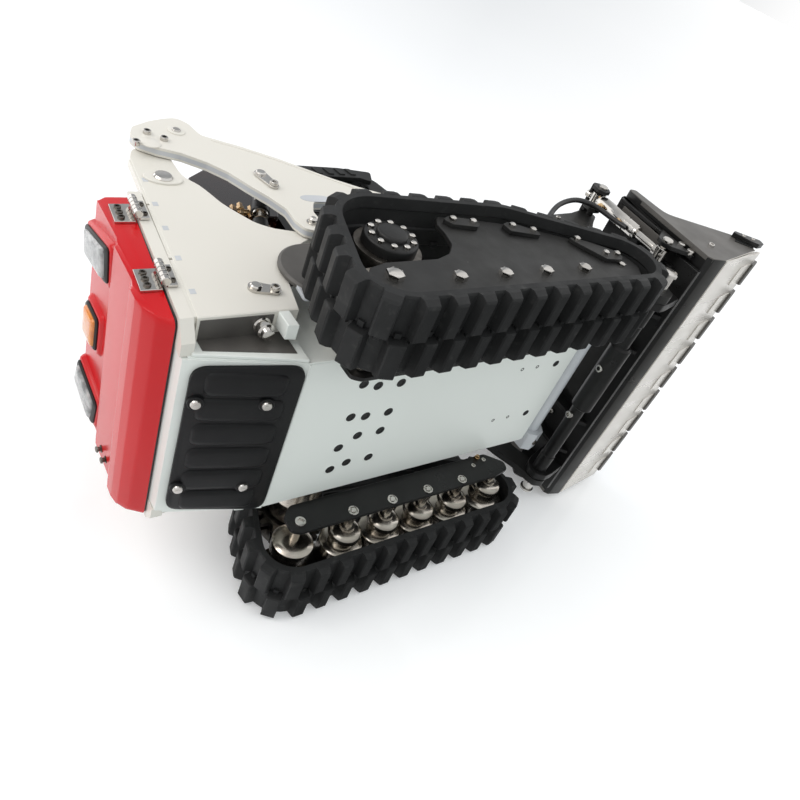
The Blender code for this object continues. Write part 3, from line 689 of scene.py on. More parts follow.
def towers():
    """The two towers that carry the arms, with their tabs, slots, pins and shelf."""
    plate = [(123.5, 38.0), (153.5, 38.0), (144.8, 120.0), (142.0, 125.5), (136.0, 127.0), (131.5, 122.0),
             (131.0, 110.0), (127.6, 103.8), (125.8, 98.8), (123.9, 92.8), (120.6, 86.8), (117.0, 81.5),
             (112.0, 78.2), (99.0, 74.6), (101.5, 72.6), (107.0, 69.4), (112.9, 64.0), (117.6, 57.0),
             (120.8, 49.8)]
    shape = plate[:2] + spline(plate[2:13], 4) + spline(plate[13:], 4)
    for side, word in SIDES:
        body = Kit()
        body.plate(shape, side * 38.5, side * TOWER_FACE)
        foot = [(123.5, 37.7), (153.5, 37.7), (153.4, 39.9), (123.5, 39.9)]
        body.plate(foot, side * 31.9, side * 40.9)
        body.make(f"tower_plate_{word}", "ivory", "chassis", (f"tower_{word}",), bevel=0.45)
        lip = Kit()
        for low, high in ((38.4, 63.6), (64.4, 91.6), (92.4, 118.6)):
            outline = [(tower_edge(low) - 0.3, low), (tower_edge(low) + 0.75, low),
                       (tower_edge(high) + 0.75, high), (tower_edge(high) - 0.3, high)]
            lip.plate(outline, side * 38.4, side * 40.9)
        lip.make(f"tower_tabs_{word}", "ivory", "chassis", bevel=0.2)
        slots = Kit()
        for z in (48.7, 64.0, 79.0, 92.0, 106.0):
            y = tower_edge(z)
            slots.plate([(y - 2.6, z - 1.1), (y - 0.9, z - 1.1), (y - 1.1, z + 1.1), (y - 2.8, z + 1.1)],
                        side * 40.9, side * 41.06)
        slots.make(f"tower_slots_{word}", "grey", "chassis")
        pins = Kit()
        profile = [(-1.0, 3.1), (0.9, 3.1), (1.5, 2.6), (1.7, 1.4), (1.7, TIP)]
        pins.turned((side * TOWER_FACE, 138.4, 107.0), (side, 0, 0), profile, 28)
        pin_keeper(pins, side * TOWER_FACE, side, (132.6, 48.0), (127.4, 46.2), 2.3)
        pins.make(f"tower_pins_{word}", "chrome", "chassis")
        bosses = Kit()
        oval = []
        for k in range(32):
            turn = math.tau * k / 32
            oval.append((138.4 + 6.2 * math.cos(turn), 106.9 + 4.0 * math.sin(turn) + 0.6 * math.cos(turn)))
        bosses.plate(oval, side * 40.8, side * 41.7)
        bosses.make(f"tower_boss_{word}", "ivory", "chassis", bevel=0.4, steps=3)
        # Under the shelf: a fixing post with a polished stepped bolt.
        post = Kit()
        profile = [(-0.4, 2.6), (0.6, 2.6), (0.9, 2.1), (2.2, 2.1), (2.4, 2.5), (3.4, 2.5), (3.8, 1.9),
                   (5.0, 1.8), (5.3, 1.2), (5.3, TIP)]
        post.turned((side * 37.0, 134.6, 37.6), (0, 0, -1), profile, 28)
        post.make(f"shelf_bolt_{word}", "chrome", "chassis")
        rail = Kit()
        rail.plate([(126.6, 31.0), (130.0, 31.6), (130.0, 37.9), (126.6, 37.9)], side * 35.6, side * 40.8)
        # Two thin dark grey sheets in the pocket under each shelf, one under the tower's foot and one on
        # the tail rail's outer face: painted shade in the pocket.
        recess = Kit()
        outline = [(side * 32.4, 131.2, 37.75), (side * 40.0, 131.2, 37.75), (side * 40.0, 152.6, 37.75),
                   (side * 32.4, 152.6, 37.75)]
        recess.slab(outline, (0, 0, -1), 0.0, 0.25)
        outline = [(side * 33.25, 127.0, 28.0), (side * 33.25, 152.6, 33.4), (side * 33.25, 152.6, 37.6),
                   (side * 33.25, 127.0, 37.6)]
        recess.slab(outline, (side, 0, 0), 0.0, 0.2)
        recess.make(f"shelf_pocket_painted_shade_{word}", "side", "chassis")
        rail.plate([(124.4, 24.8), (155.5, 32.8), (155.5, 37.8), (124.4, 37.8)], side * 32.1, side * 33.2)
        rail.make(f"tail_rail_{word}", "pale", "chassis", bevel=0.3)


def hood_section(inset):
    """The hood's outline in layout y and z, with everything but the joint edge moved in by inset."""
    outer = [(joint_face(99.0), 99.0), (158.6, 99.0), (161.9, 96.4), (162.15, 76.6), (162.7, 74.6),
             (164.0, 72.6), (164.25, 57.0), (164.7, 55.2), (165.9, 53.2), (166.0, 48.5), (165.3, 44.6),
             (163.0, 40.9), (159.4, 38.4), (joint_face(38.0) + 0.3, 38.0)]
    radii = [0.0, 2.0, 2.2, 1.2, 1.2, 1.2, 1.2, 1.2, 1.2, 2.2, 3.0, 3.5, 2.5, 0.0]
    shape = rounded(outer, radii, 4)
    if inset <= 0:
        return shape
    moved = []
    count = len(shape)
    for i, (y, z) in enumerate(shape):
        y0, z0 = shape[max(i - 1, 0)]
        y1, z1 = shape[min(i + 1, count - 1)]
        size = math.hypot(y1 - y0, z1 - z0) or 1.0
        if i in (0, count - 1):
            moved.append((y, z + inset * (-1 if i == 0 else 1)))
        else:
            moved.append((y + inset * max((z1 - z0) / size, 0.0), z - inset * (y1 - y0) / size))
    return moved


def hood():
    """The red rear hood: one shell with raised pods, latch studs and the seal behind it."""
    shell = Kit()
    rings = []
    radius = 2.4
    half = 40.0
    stations = []
    for k in range(6):
        turn = math.pi / 2 * k / 5
        stations.append((-(half - radius) - radius * math.cos(turn), radius * (1 - math.sin(turn))))
    for x in (-30.0, -15.0, 0.0, 15.0, 30.0):
        stations.append((x, 0.0))
    stations += [(-x, inset) for x, inset in reversed(stations[:6])]
    for x, inset in stations:
        rings.append([W(x, y, z) for y, z in hood_section(inset)])
    shell.skin(rings)
    # Raised pods that carry the lamps.
    for side in (-1, 1):
        pod = rounded([(side * 37.0, 76.0), (side * 23.4, 73.9), (side * 20.4, 96.4), (side * 31.8, 98.2)],
                      2.2, 5)
        cx = sum(p[0] for p in pod) / len(pod)
        cz = sum(p[1] for p in pod) / len(pod)
        rings = []
        for grow, y in ((0.8, 161.2), (0.35, 162.6), (0.0, 163.3), (-0.5, 163.55)):
            rings.append([W(cx + (x - cx) * (1 + grow / 7), y, cz + (z - cz) * (1 + grow / 11)) for x,
                          z in pod])
        shell.skin(rings)
    pod = rounded([(-7.4, 80.2), (7.4, 80.2), (7.4, 93.4), (-7.4, 93.4)], 1.8, 5)
    rings = []
    for grow, y in ((1.2, 161.2), (0.5, 162.5), (0.0, 163.1), (-0.4, 163.3)):
        rings.append([W(x * (1 + grow / 7), y, 86.8 + (z - 86.8) * (1 + grow / 6.6)) for x, z in pod])
    shell.skin(rings)
    shell.make("hood_cover", "red", "hood", ("hood_shell",), angle=40)
    # Latch studs near the opening edge, and the joint's dark seal.
    studs = Kit()
    for z in (66.0, 61.0):
        profile = [(-0.5, 1.3), (0.5, 1.3), (0.6, 0.8), (1.4, 0.8), (1.5, 1.15), (2.0, 1.0), (2.0, TIP)]
        studs.turned((36.2, 163.9, z), (0, 1, 0), profile, 18)
    studs.make("hood_studs", "dark_steel", "hood")
    seal = Kit()
    loop = []
    for x, z in rounded([(-39.3, 38.7), (39.3, 38.7), (39.3, 98.3), (-39.3, 98.3)], 2.0, 4):
        loop.append((x, joint_face(z) - 0.05, z))
    loop.append(loop[0])
    seal.pipe(loop, 0.42, 8)
    seal.make("hood_seal", "hose", "chassis")


def lamp(word, outline, middle, y0, look):
    """A bezel ring with a domed lens in it, standing on the hood's back."""
    cx, cz = middle
    shape = rounded(outline, 1.6, 5)

    def ring(k, y):
        return [W(cx + (x - cx) * k, y, cz + (z - cz) * k) for x, z in shape]

    bezel = Kit()
    outer = [(1.07, y0 - 0.5), (1.07, y0 + 0.5), (1.0, y0 + 0.95), (0.90, y0 + 0.95), (0.86, y0 + 0.3)]
    bezel.skin([ring(k, y) for k, y in outer])
    bezel.make(f"lamp_bezel_{word}", "plastic", "hood")
    lens = Kit()
    dome = [(0.89, y0 + 0.2), (0.885, y0 + 1.3), (0.82, y0 + 1.8), (0.66, y0 + 2.05), (0.40, y0 + 2.15),
            (0.1, y0 + 2.2)]
    lens.skin([ring(k, y) for k, y in dome])
    lens.make(f"lamp_lens_{word}", look, "hood", (f"lamp_{word}",), angle=50)


def lamps():
    """Two clear lamps and an amber one between them."""
    for side, word in SIDES:
        outline = [(side * 35.2, 77.4), (side * 24.8, 75.6), (side * 22.2, 95.2), (side * 30.8, 97.0)]
        lamp(word, outline, (side * 28.2, 86.3), 163.5, "lens")
    lamp("amber", [(-6.0, 81.4), (6.0, 81.4), (6.0, 92.2), (-6.0, 92.2)], (0.0, 86.8), 163.25, "amber")


def hinges():
    """Two butt hinges: a leaf on the hood's side, a leaf on the frame, a knuckle and screws."""
    for word, low, high in (("lower", 50.6, 60.0), ("upper", 82.8, 92.2)):
        leaf = Kit()
        screws = Kit()
        knuckle = Kit()
        outline = [(joint_face(low) - 3.4, low), (joint_face(low) - 0.5, low),
                   (joint_face(high) - 0.5, high), (joint_face(high) - 3.4, high)]
        leaf.plate(outline, -41.15, -42.0)
        for i in range(5):
            a = low + (high - low) * i / 5 + 0.12
            b = low + (high - low) * (i + 1) / 5 - 0.12
            start = (-43.0, joint_face(a), a)
            along = (0, joint_face(b) - joint_face(a), b - a)
            length = math.hypot(along[1], along[2])
            knuckle.turned(start, along, [(0.0, 1.2), (0.1, 1.35), (length - 0.1, 1.35), (length, 1.2)], 20)
        for z in (low + 2.2, high - 2.2):
            screws.bolt((-42.0, joint_face(z) - 2.4, z), (-1, 0, 0), 0.8, 0.45)
        knuckle.make(f"hinge_knuckle_{word}", "chrome", "chassis", (f"hood_hinge_{word}",))
        leaf.make(f"hinge_leaf_{word}", "chrome", "chassis", bevel=0.15)
        screws.make(f"hinge_screws_{word}", "dark_steel", "chassis")
        wing = Kit()
        outline = [(joint_face(low) + 0.6, low), (joint_face(low) + 6.6, low),
                   (joint_face(high) + 6.6, high), (joint_face(high) + 0.6, high)]
        wing.plate(outline, -40.05, -40.9)
        wing.make(f"hinge_wing_{word}", "chrome", "hood", bevel=0.15)
        wing_screws = Kit()
        for z in (low + 2.0, (low + high) / 2, high - 2.0):
            wing_screws.bolt((-40.9, joint_face(z) + 4.4, z), (-1, 0, 0), 1.05, 0.55)
        wing_screws.make(f"hinge_wing_screws_{word}", "dark_steel", "hood")


# ---------------------------------------------------------------- tracks and their frames

FRONT = (20.8, 16.0, 10.3)
CARRIER = (56.0, 36.5, 7.5)
DRIVE = (103.5, 34.3, 14.9)
REAR = (113.6, 16.2, 10.5)
ROLLER_Y = (41.0, 58.5, 75.5, 92.8)
ROLLER_Z = 14.4
LUGS = 30
BAND = 2.3              # thickness of the belt without its lugs
SEAM_X = 57.75          # the seam between the two rows of lugs
TEETH = 14              # of each sprocket
HUB_BOLTS = 10
HUB_CIRCLE = 6.35       # radius of the circle that the hub's bolts stand on


def track_path(offset):
    """The closed line round the wheels as (y, z, outward normal), in the travel direction."""
    wheels = [FRONT, CARRIER, DRIVE, REAR]
    leave = []
    for i in range(4):
        y0, z0, r0 = wheels[i]
        y1, z1, r1 = wheels[(i + 1) % 4]
        gap = math.hypot(y1 - y0, z1 - z0)
        leave.append(math.atan2(z1 - z0, y1 - y0) + math.acos((r0 - r1) / gap))
    points = []
    for i in range(4):
        y0, z0, r0 = wheels[i]
        start, end = leave[i - 1], leave[i]
        while end > start:
            end -= math.tau
        steps = max(2, round((start - end) * (r0 + offset) / 1.5))
        for k in range(steps + 1):
            turn = start + (end - start) * k / steps
            out = (math.cos(turn), math.sin(turn))
            points.append((y0 + (r0 + offset) * out[0], z0 + (r0 + offset) * out[1], out))
    return points


class Path:
    """Looks up points of a closed path by distance."""

    def __init__(self, points):
        self.points = points
        self.marks = [0.0]
        for i in range(len(points)):
            a = points[i]
            b = points[(i + 1) % len(points)]
            self.marks.append(self.marks[-1] + math.hypot(b[0] - a[0], b[1] - a[1]))
        self.length = self.marks[-1]

    def at(self, distance, rise=0.0):
        distance %= self.length
        low, high = 0, len(self.points)
        while high - low > 1:
            mid = (low + high) // 2
            if self.marks[mid] <= distance:
                low = mid
            else:
                high = mid
        a = self.points[low]
        b = self.points[(low + 1) % len(self.points)]
        span = self.marks[low + 1] - self.marks[low] or 1.0
        t = (distance - self.marks[low]) / span
        ny = a[2][0] + (b[2][0] - a[2][0]) * t
        nz = a[2][1] + (b[2][1] - a[2][1]) * t
        size = math.hypot(ny, nz)
        ny, nz = ny / size, nz / size
        return (a[0] + (b[0] - a[0]) * t + ny * rise, a[1] + (b[1] - a[1]) * t + nz * rise)


def track(side, word):
    """One belt with its lugs and guide horns."""
    path = Path(track_path(BAND))
    pitch = path.length / LUGS
    kit = Kit()

    def tread(x0, x1, a, b, rise):
        """Four corners across the belt from x0 to x1 and along it from a to b, at one rise."""
        return [W(side * x0, *path.at(a, rise)), W(side * x1, *path.at(a, rise)),
                W(side * x1, *path.at(b, rise)), W(side * x0, *path.at(b, rise))]

    # The belt itself: a rounded section carried round the path.
    section = [(45.2, -2.3), (45.2, -0.25), (45.9, 0.0), (57.4, 0.0), (57.75, -0.5), (58.1, 0.0),
               (69.6, 0.0),
               (70.3, -0.25), (70.3, -2.3), (66.6, -2.3), (66.2, -1.7), (60.8, -1.7), (60.4, -2.3),
               (55.2, -2.3), (54.8, -1.7), (49.4, -1.7), (49.0, -2.3)]
    rings = []
    steps = LUGS * 5
    for i in range(steps):
        s = path.length * i / steps
        rings.append([W(side * x, *path.at(s, rise)) for x, rise in section])
    kit.skin(rings, cap=False, closed=True)
    # Lugs: two staggered rows of tapered blocks that reach over the belt's edges.
    for i in range(LUGS):
        for row, phase in ((0, 0.0), (1, 0.5)):
            start = (i + phase + 0.04) * pitch
            inner = (57.95, 58.1) if row == 0 else (57.55, 57.4)
            edge = (45.15, 46.6) if row == 1 else (70.35, 68.9)
            if row == 0:
                xs = (inner[0], edge[0])
                top_xs = (inner[1] + 0.5, edge[1])
            else:
                xs = (edge[0], inner[0])
                top_xs = (edge[1], inner[1] - 0.5)
            base_a, base_b = start, start + pitch * 0.60
            top_a, top_b = start + pitch * 0.07, start + pitch * 0.50
            levels = ((base_a, base_b, xs, -0.3), (base_a + 0.05 * pitch, base_b - 0.06 * pitch, xs, 1.0),
                      (top_a, top_b, ((xs[0] + top_xs[0]) / 2, (xs[1] + top_xs[1]) / 2), 2.9),
                      (top_a + 0.4, top_b - 0.4, top_xs, 3.32))
            kit.skin([tread(*across, a, b, rise) for a, b, across, rise in levels])
            # Grooved outer end of the lug and the rib that ties it to the seam.
            out_x = edge[0]
            lean = 0.25 if row == 0 else -0.25
            for g in range(4):
                at = start + pitch * (0.12 + 0.095 * g)
                far = at + 0.10 * pitch - 0.1
                kit.skin([[W(side * (out_x - lean * flank), *path.at(at, rise)),
                           W(side * (out_x - lean * crest), *path.at(at + 0.05 * pitch, rise)),
                           W(side * (out_x - lean * flank), *path.at(far, rise))]
                          for rise, flank, crest in ((0.1, 2.0, -0.5), (2.5, 4.5, 2.2))])
            reach = 1.7 if row == 0 else -1.7
            kit.skin([tread(SEAM_X, SEAM_X + reach, start + a * pitch, start + b * pitch, rise)
                      for a, b, rise in ((0.66, 0.90, -0.2), (0.69, 0.87, 0.9))])
    # Guide horns on the inside.
    for i in range(LUGS):
        s = (i + 0.3) * pitch
        horn = ((1.5, -2.0, 54.6, 56.4), (1.3, -3.0, 54.7, 56.3), (0.8, -3.6, 54.9, 56.1))
        kit.skin([tread(x0, x1, s - half, s + half, rise) for half, rise, x0, x1 in horn])
    kit.make(f"track_{word}", "rubber", "chassis", (f"track_band_{word}",), bevel=0.12, steps=1, angle=18)


OUTER_PLATE = [(121.0, 13.0), (118.5, 9.8), (112.0, 8.4), (24.0, 8.4), (16.5, 10.0), (13.2, 14.5),
               (13.8, 20.0),
               (19.0, 25.5), (34.0, 32.5), (50.0, 39.5), (66.0, 43.0), (80.0, 44.8), (82.3, 41.0),
               (82.6, 36.0),
               (84.0, 30.5), (88.0, 26.2), (94.0, 23.9), (112.0, 23.4), (118.0, 21.6), (121.6, 17.5)]
INNER_PLATE = [(118.0, 14.0), (115.0, 12.2), (24.0, 12.2), (16.5, 13.5), (15.0, 17.5), (22.0, 23.9),
               (114.0, 23.9), (118.0, 20.0)]


def track_frames():
    """The plates, blocks, bolts and clips that carry each track's wheels."""
    for side, word in SIDES:
        kit = Kit()
        radii = [2.0, 2.0, 2.0, 2.5, 2.5, 2.5, 2.5, 4.0, 9.0, 9.0, 9.0, 2.5, 1.5, 3.0, 4.0, 4.0, 4.0, 3.0,
                 3.0, 2.5]
        kit.plate(rounded(OUTER_PLATE, radii, 4), side * 64.8, side * FRAME_FACE)
        kit.make(f"outer_frame_{word}", "plate", "chassis", (f"outer_plate_{word}",), bevel=0.25)
        inner = Kit()
        inner.plate(rounded(INNER_PLATE, [2.0, 3.0, 3.0, 2.5, 2.5, 3.0, 3.0, 2.0], 3), side * INNER_FACE,
                    side * 36.0)
        inner.make(f"inner_frame_{word}", "black", "chassis", (f"inner_plate_{word}",), bevel=0.25)
        blocks = Kit()
        shapes = ([(27.5, 27.6), (19.6, 22.2), (18.4, 18.6), (20.6, 16.8), (27.4, 17.6), (33.6, 27.4),
                   (34.4, 30.6)],
                  [(51.5, 37.8), (45.6, 34.0), (46.2, 31.6), (57.4, 34.4), (57.8, 38.4), (55.0, 39.4)],
                  [(77.6, 42.8), (68.4, 41.0), (67.6, 38.4), (69.6, 36.8), (78.4, 38.4), (80.2, 41.4)])
        bolts = Kit()
        for shape in shapes:
            blocks.plate(rounded(shape, 0.8, 3), side * FRAME_FACE, side * BLOCK_FACE)
        for y, z in ((21.2, 19.4), (26.0, 20.2), (32.4, 28.4), (48.4, 33.9), (55.4, 36.6), (70.4, 38.9),
                     (77.4, 40.4)):
            bolts.dome((side * BLOCK_FACE, y, z), (side, 0, 0), 1.2, 1.5)
        blocks.make(f"frame_blocks_{word}", "plate", "chassis", bevel=0.3)
        for y in ROLLER_Y:
            bolts.dome((side * FRAME_FACE, y, ROLLER_Z + 0.4), (side, 0, 0), 2.2, 2.0)
        bolts.dome((side * FRAME_FACE, REAR[0], REAR[1] + 0.6), (side, 0, 0), 2.7, 2.3)
        bolts.dome((side * FRAME_FACE, FRONT[0], FRONT[1]), (side, 0, 0), 1.5, 1.0)
        bolts.make(f"frame_bolts_{word}", "chrome", "chassis")
        clips = Kit()
        for y in ROLLER_Y:
            at = (side * INNER_FACE, y, ROLLER_Z + 0.3)
            away = (-side, 0, 0)
            profile = [(-0.5, 1.9), (0.25, 1.9), (0.3, 1.1), (0.75, 1.0), (1.0, 0.8), (1.0, TIP)]
            clips.turned(at, away, profile, 20)
            ring = []
            for k in range(15):
                turn = math.radians(40 + 280 * k / 14)
                ring.append((side * 34.1, y + 1.75 * math.cos(turn),
                             ROLLER_Z + 0.3 + 1.75 * math.sin(turn)))
            clips.pipe(ring, 0.28, 8)
        clips.bolt((side * INNER_FACE, REAR[0], REAR[1]), (-side, 0, 0), 2.0, 0.9)
        for y, z in ((24.6, 20.8), (31.4, 19.4)):
            clips.bolt((side * INNER_FACE, y, z), (-side, 0, 0), 1.0, 0.7)
        clips.make(f"roller_clips_{word}", "chrome", "chassis")
        brass = Kit()
        brass.hex((side * 34.4, 27.0, 22.6), (-side, 0, 0), 1.2, 0.9)
        brass.turned((side * 34.4, 27.0, 22.6), (-side, 0, 0),
                     [(0.5, 0.8), (1.6, 0.8), (1.8, 0.5), (1.8, TIP)], 16)
        brass.make(f"tension_fitting_{word}", "brass", "chassis")


def wheel(name, centre, r, side):
    """A polished double-flange wheel: two domed discs on a slim hub, with its axle."""
    y, z = centre
    kit = Kit()
    profile = [(36.3, 1.6), (41.8, 1.6), (42.0, 2.6), (43.2, 2.8), (43.5, 4.4), (44.0, 5.4), (44.7, 6.0),
               (45.4, 6.2), (46.7, 6.2), (47.2, 5.9), (47.6, 5.0), (50.4, r * 0.58), (50.8, r * 0.95),
               (51.2, r), (60.3, r), (60.9, r * 0.95), (61.4, r * 0.7), (61.6, r * 0.4), (62.2, 2.6),
               (62.4, 1.6), (64.5, 1.6)]
    kit.turned((0.0, y, z), (side, 0, 0), profile, 48)
    kit.make(name + "_wheel", "steel", name, (name,), angle=42)


def wheels():
    """Four rollers and two idlers on each side."""
    for side, word in SIDES:
        for i, y in enumerate(ROLLER_Y):
            wheel(f"roller_{word}_{i + 1}", (y, ROLLER_Z), 8.2, side)
        wheel(f"front_idler_{word}", FRONT[:2], 9.9, side)
        y, z = REAR[:2]
        kit = Kit()
        r = 10.1
        profile = [(36.3, 1.6), (43.4, 1.7), (43.6, 4.6), (44.1, 6.4), (44.9, 7.4), (49.6, 7.4),
                   (50.2, 6.9),
                   (51.0, 5.4), (60.2, 5.4), (60.8, r * 0.85), (61.4, r * 0.94), (63.3, r * 0.94),
                   (63.7, r * 0.5), (63.8, 1.7), (64.5, 1.6)]
        kit.turned((0.0, y, z), (side, 0, 0), profile, 48)
        kit.make(f"rear_idler_{word}_wheel", "steel", f"rear_idler_{word}", (f"rear_idler_{word}",),
                 angle=42)


def drives():
    """Each side's gearbox, sprocket, hub and hub cover."""
    y, z = DRIVE[:2]
    for side, word in SIDES:
        body = f"drive_{word}"
        case = Kit()
        profile = [(29.0, 6.0), (30.5, 8.5), (41.0, 8.5), (42.0, 9.3), (43.0, 9.5), (50.4, 9.5),
                   (50.9, 9.2)]
        case.turned((0.0, y, z), (side, 0, 0), profile, 48)
        case.make(f"gearbox_{word}", "steel", "chassis", (f"final_drive_{word}",), angle=40)
        teeth = Kit()
        outline = []
        for k in range(TEETH):
            for share, radius in ((-0.02, 11.3), (0.26, 11.3), (0.36, 12.6), (0.45, 14.0), (0.57, 14.4),
                                  (0.69, 14.0), (0.78, 12.6)):
                turn = math.tau * (k + share) / TEETH
                outline.append((y + radius * math.cos(turn), z + radius * math.sin(turn)))
        teeth.plate(outline, side * 52.2, side * 54.4)
        teeth.plate(outline, side * 56.6, side * 58.8)
        teeth.turned((0.0, y, z), (side, 0, 0), [(52.0, 10.6), (58.9, 10.6)], 48)
        teeth.make(f"sprocket_teeth_{word}", "dark_steel", body, (f"sprocket_{word}",), bevel=0.2)
        drum = Kit()
        drum.turned((0.0, y, z), (side, 0, 0), [(59.2, 9.9), (59.6, 10.2), (63.4, 10.2), (63.8, 10.0)], 56)
        drum.make(f"hub_drum_{word}", "dark_steel", body)
        cap = Kit()
        profile = [(63.6, 8.1), (66.3, 8.1), (66.8, 7.9), (67.0, 7.6), (67.1, 5.0)]
        cap.turned((0.0, y, z), (side, 0, 0), profile, 56)
        profile = [(66.9, 4.6), (68.0, 4.55), (68.4, 4.2), (68.55, 3.6), (68.6, TIP)]
        cap.turned((0.0, y, z), (side, 0, 0), profile, 48)
        cap.make(f"hub_cover_{word}", "plastic", body, (f"hub_cap_{word}",), angle=40)
        bolts = Kit()
        for k in range(HUB_BOLTS):
            turn = math.tau * (k + 0.25) / HUB_BOLTS
            at = (side * 66.9, y + HUB_CIRCLE * math.cos(turn), z + HUB_CIRCLE * math.sin(turn))
            bolts.dome(at, (side, 0, 0), 1.05, 1.3)
        bolts.make(f"hub_bolts_{word}", "chrome", body)


# ---------------------------------------------------------------- arms and cylinders

ARM = [(142.5, 128.5), (140.0, 134.0), (133.0, 138.7), (127.0, 141.5), (121.5, 143.0), (118.5, 139.0),
       (117.0, 131.0), (105.0, 124.7), (93.6, 117.3), (77.2, 104.2), (69.0, 98.9), (52.0, 90.0),
       (34.0, 84.0), (16.0, 80.6), (0.0, 80.5), (-6.0, 80.0), (-9.0, 76.0), (-9.0, 66.0),
       (-5.0, 61.0), (4.0, 61.0), (18.0, 68.0), (34.0, 74.0), (54.0, 79.0), (74.0, 84.0),
       (88.0, 88.5), (93.5, 88.5), (96.8, 82.0), (96.5, 76.0), (98.0, 72.0), (101.0, 70.8),
       (104.8, 72.2), (106.3, 77.0), (106.0, 84.0), (109.0, 91.0), (113.0, 98.0), (117.0, 106.0),
       (122.0, 112.0), (129.0, 117.5), (136.0, 120.5), (141.0, 124.0)]
FOOT = [(8.0, 66.0), (10.0, 62.0), (6.0, 55.0), (1.0, 46.0), (-3.0, 34.0), (-7.5, 24.0), (-8.5, 17.0),
        (-10.0, 12.8), (-14.0, 11.3), (-18.0, 13.0), (-19.6, 17.0), (-17.4, 24.0), (-14.0, 34.0),
        (-12.5, 48.0), (-14.0, 55.0), (-21.0, 61.0), (-26.5, 65.0), (-26.5, 69.0), (-23.0, 70.6),
        (-14.0, 68.0), (-4.0, 67.0)]
TILT_PIN = (-24.0, 67.0)
PIVOT = (137.4, 123.2)
BUCKET_PIN = (-14.0, 17.0)


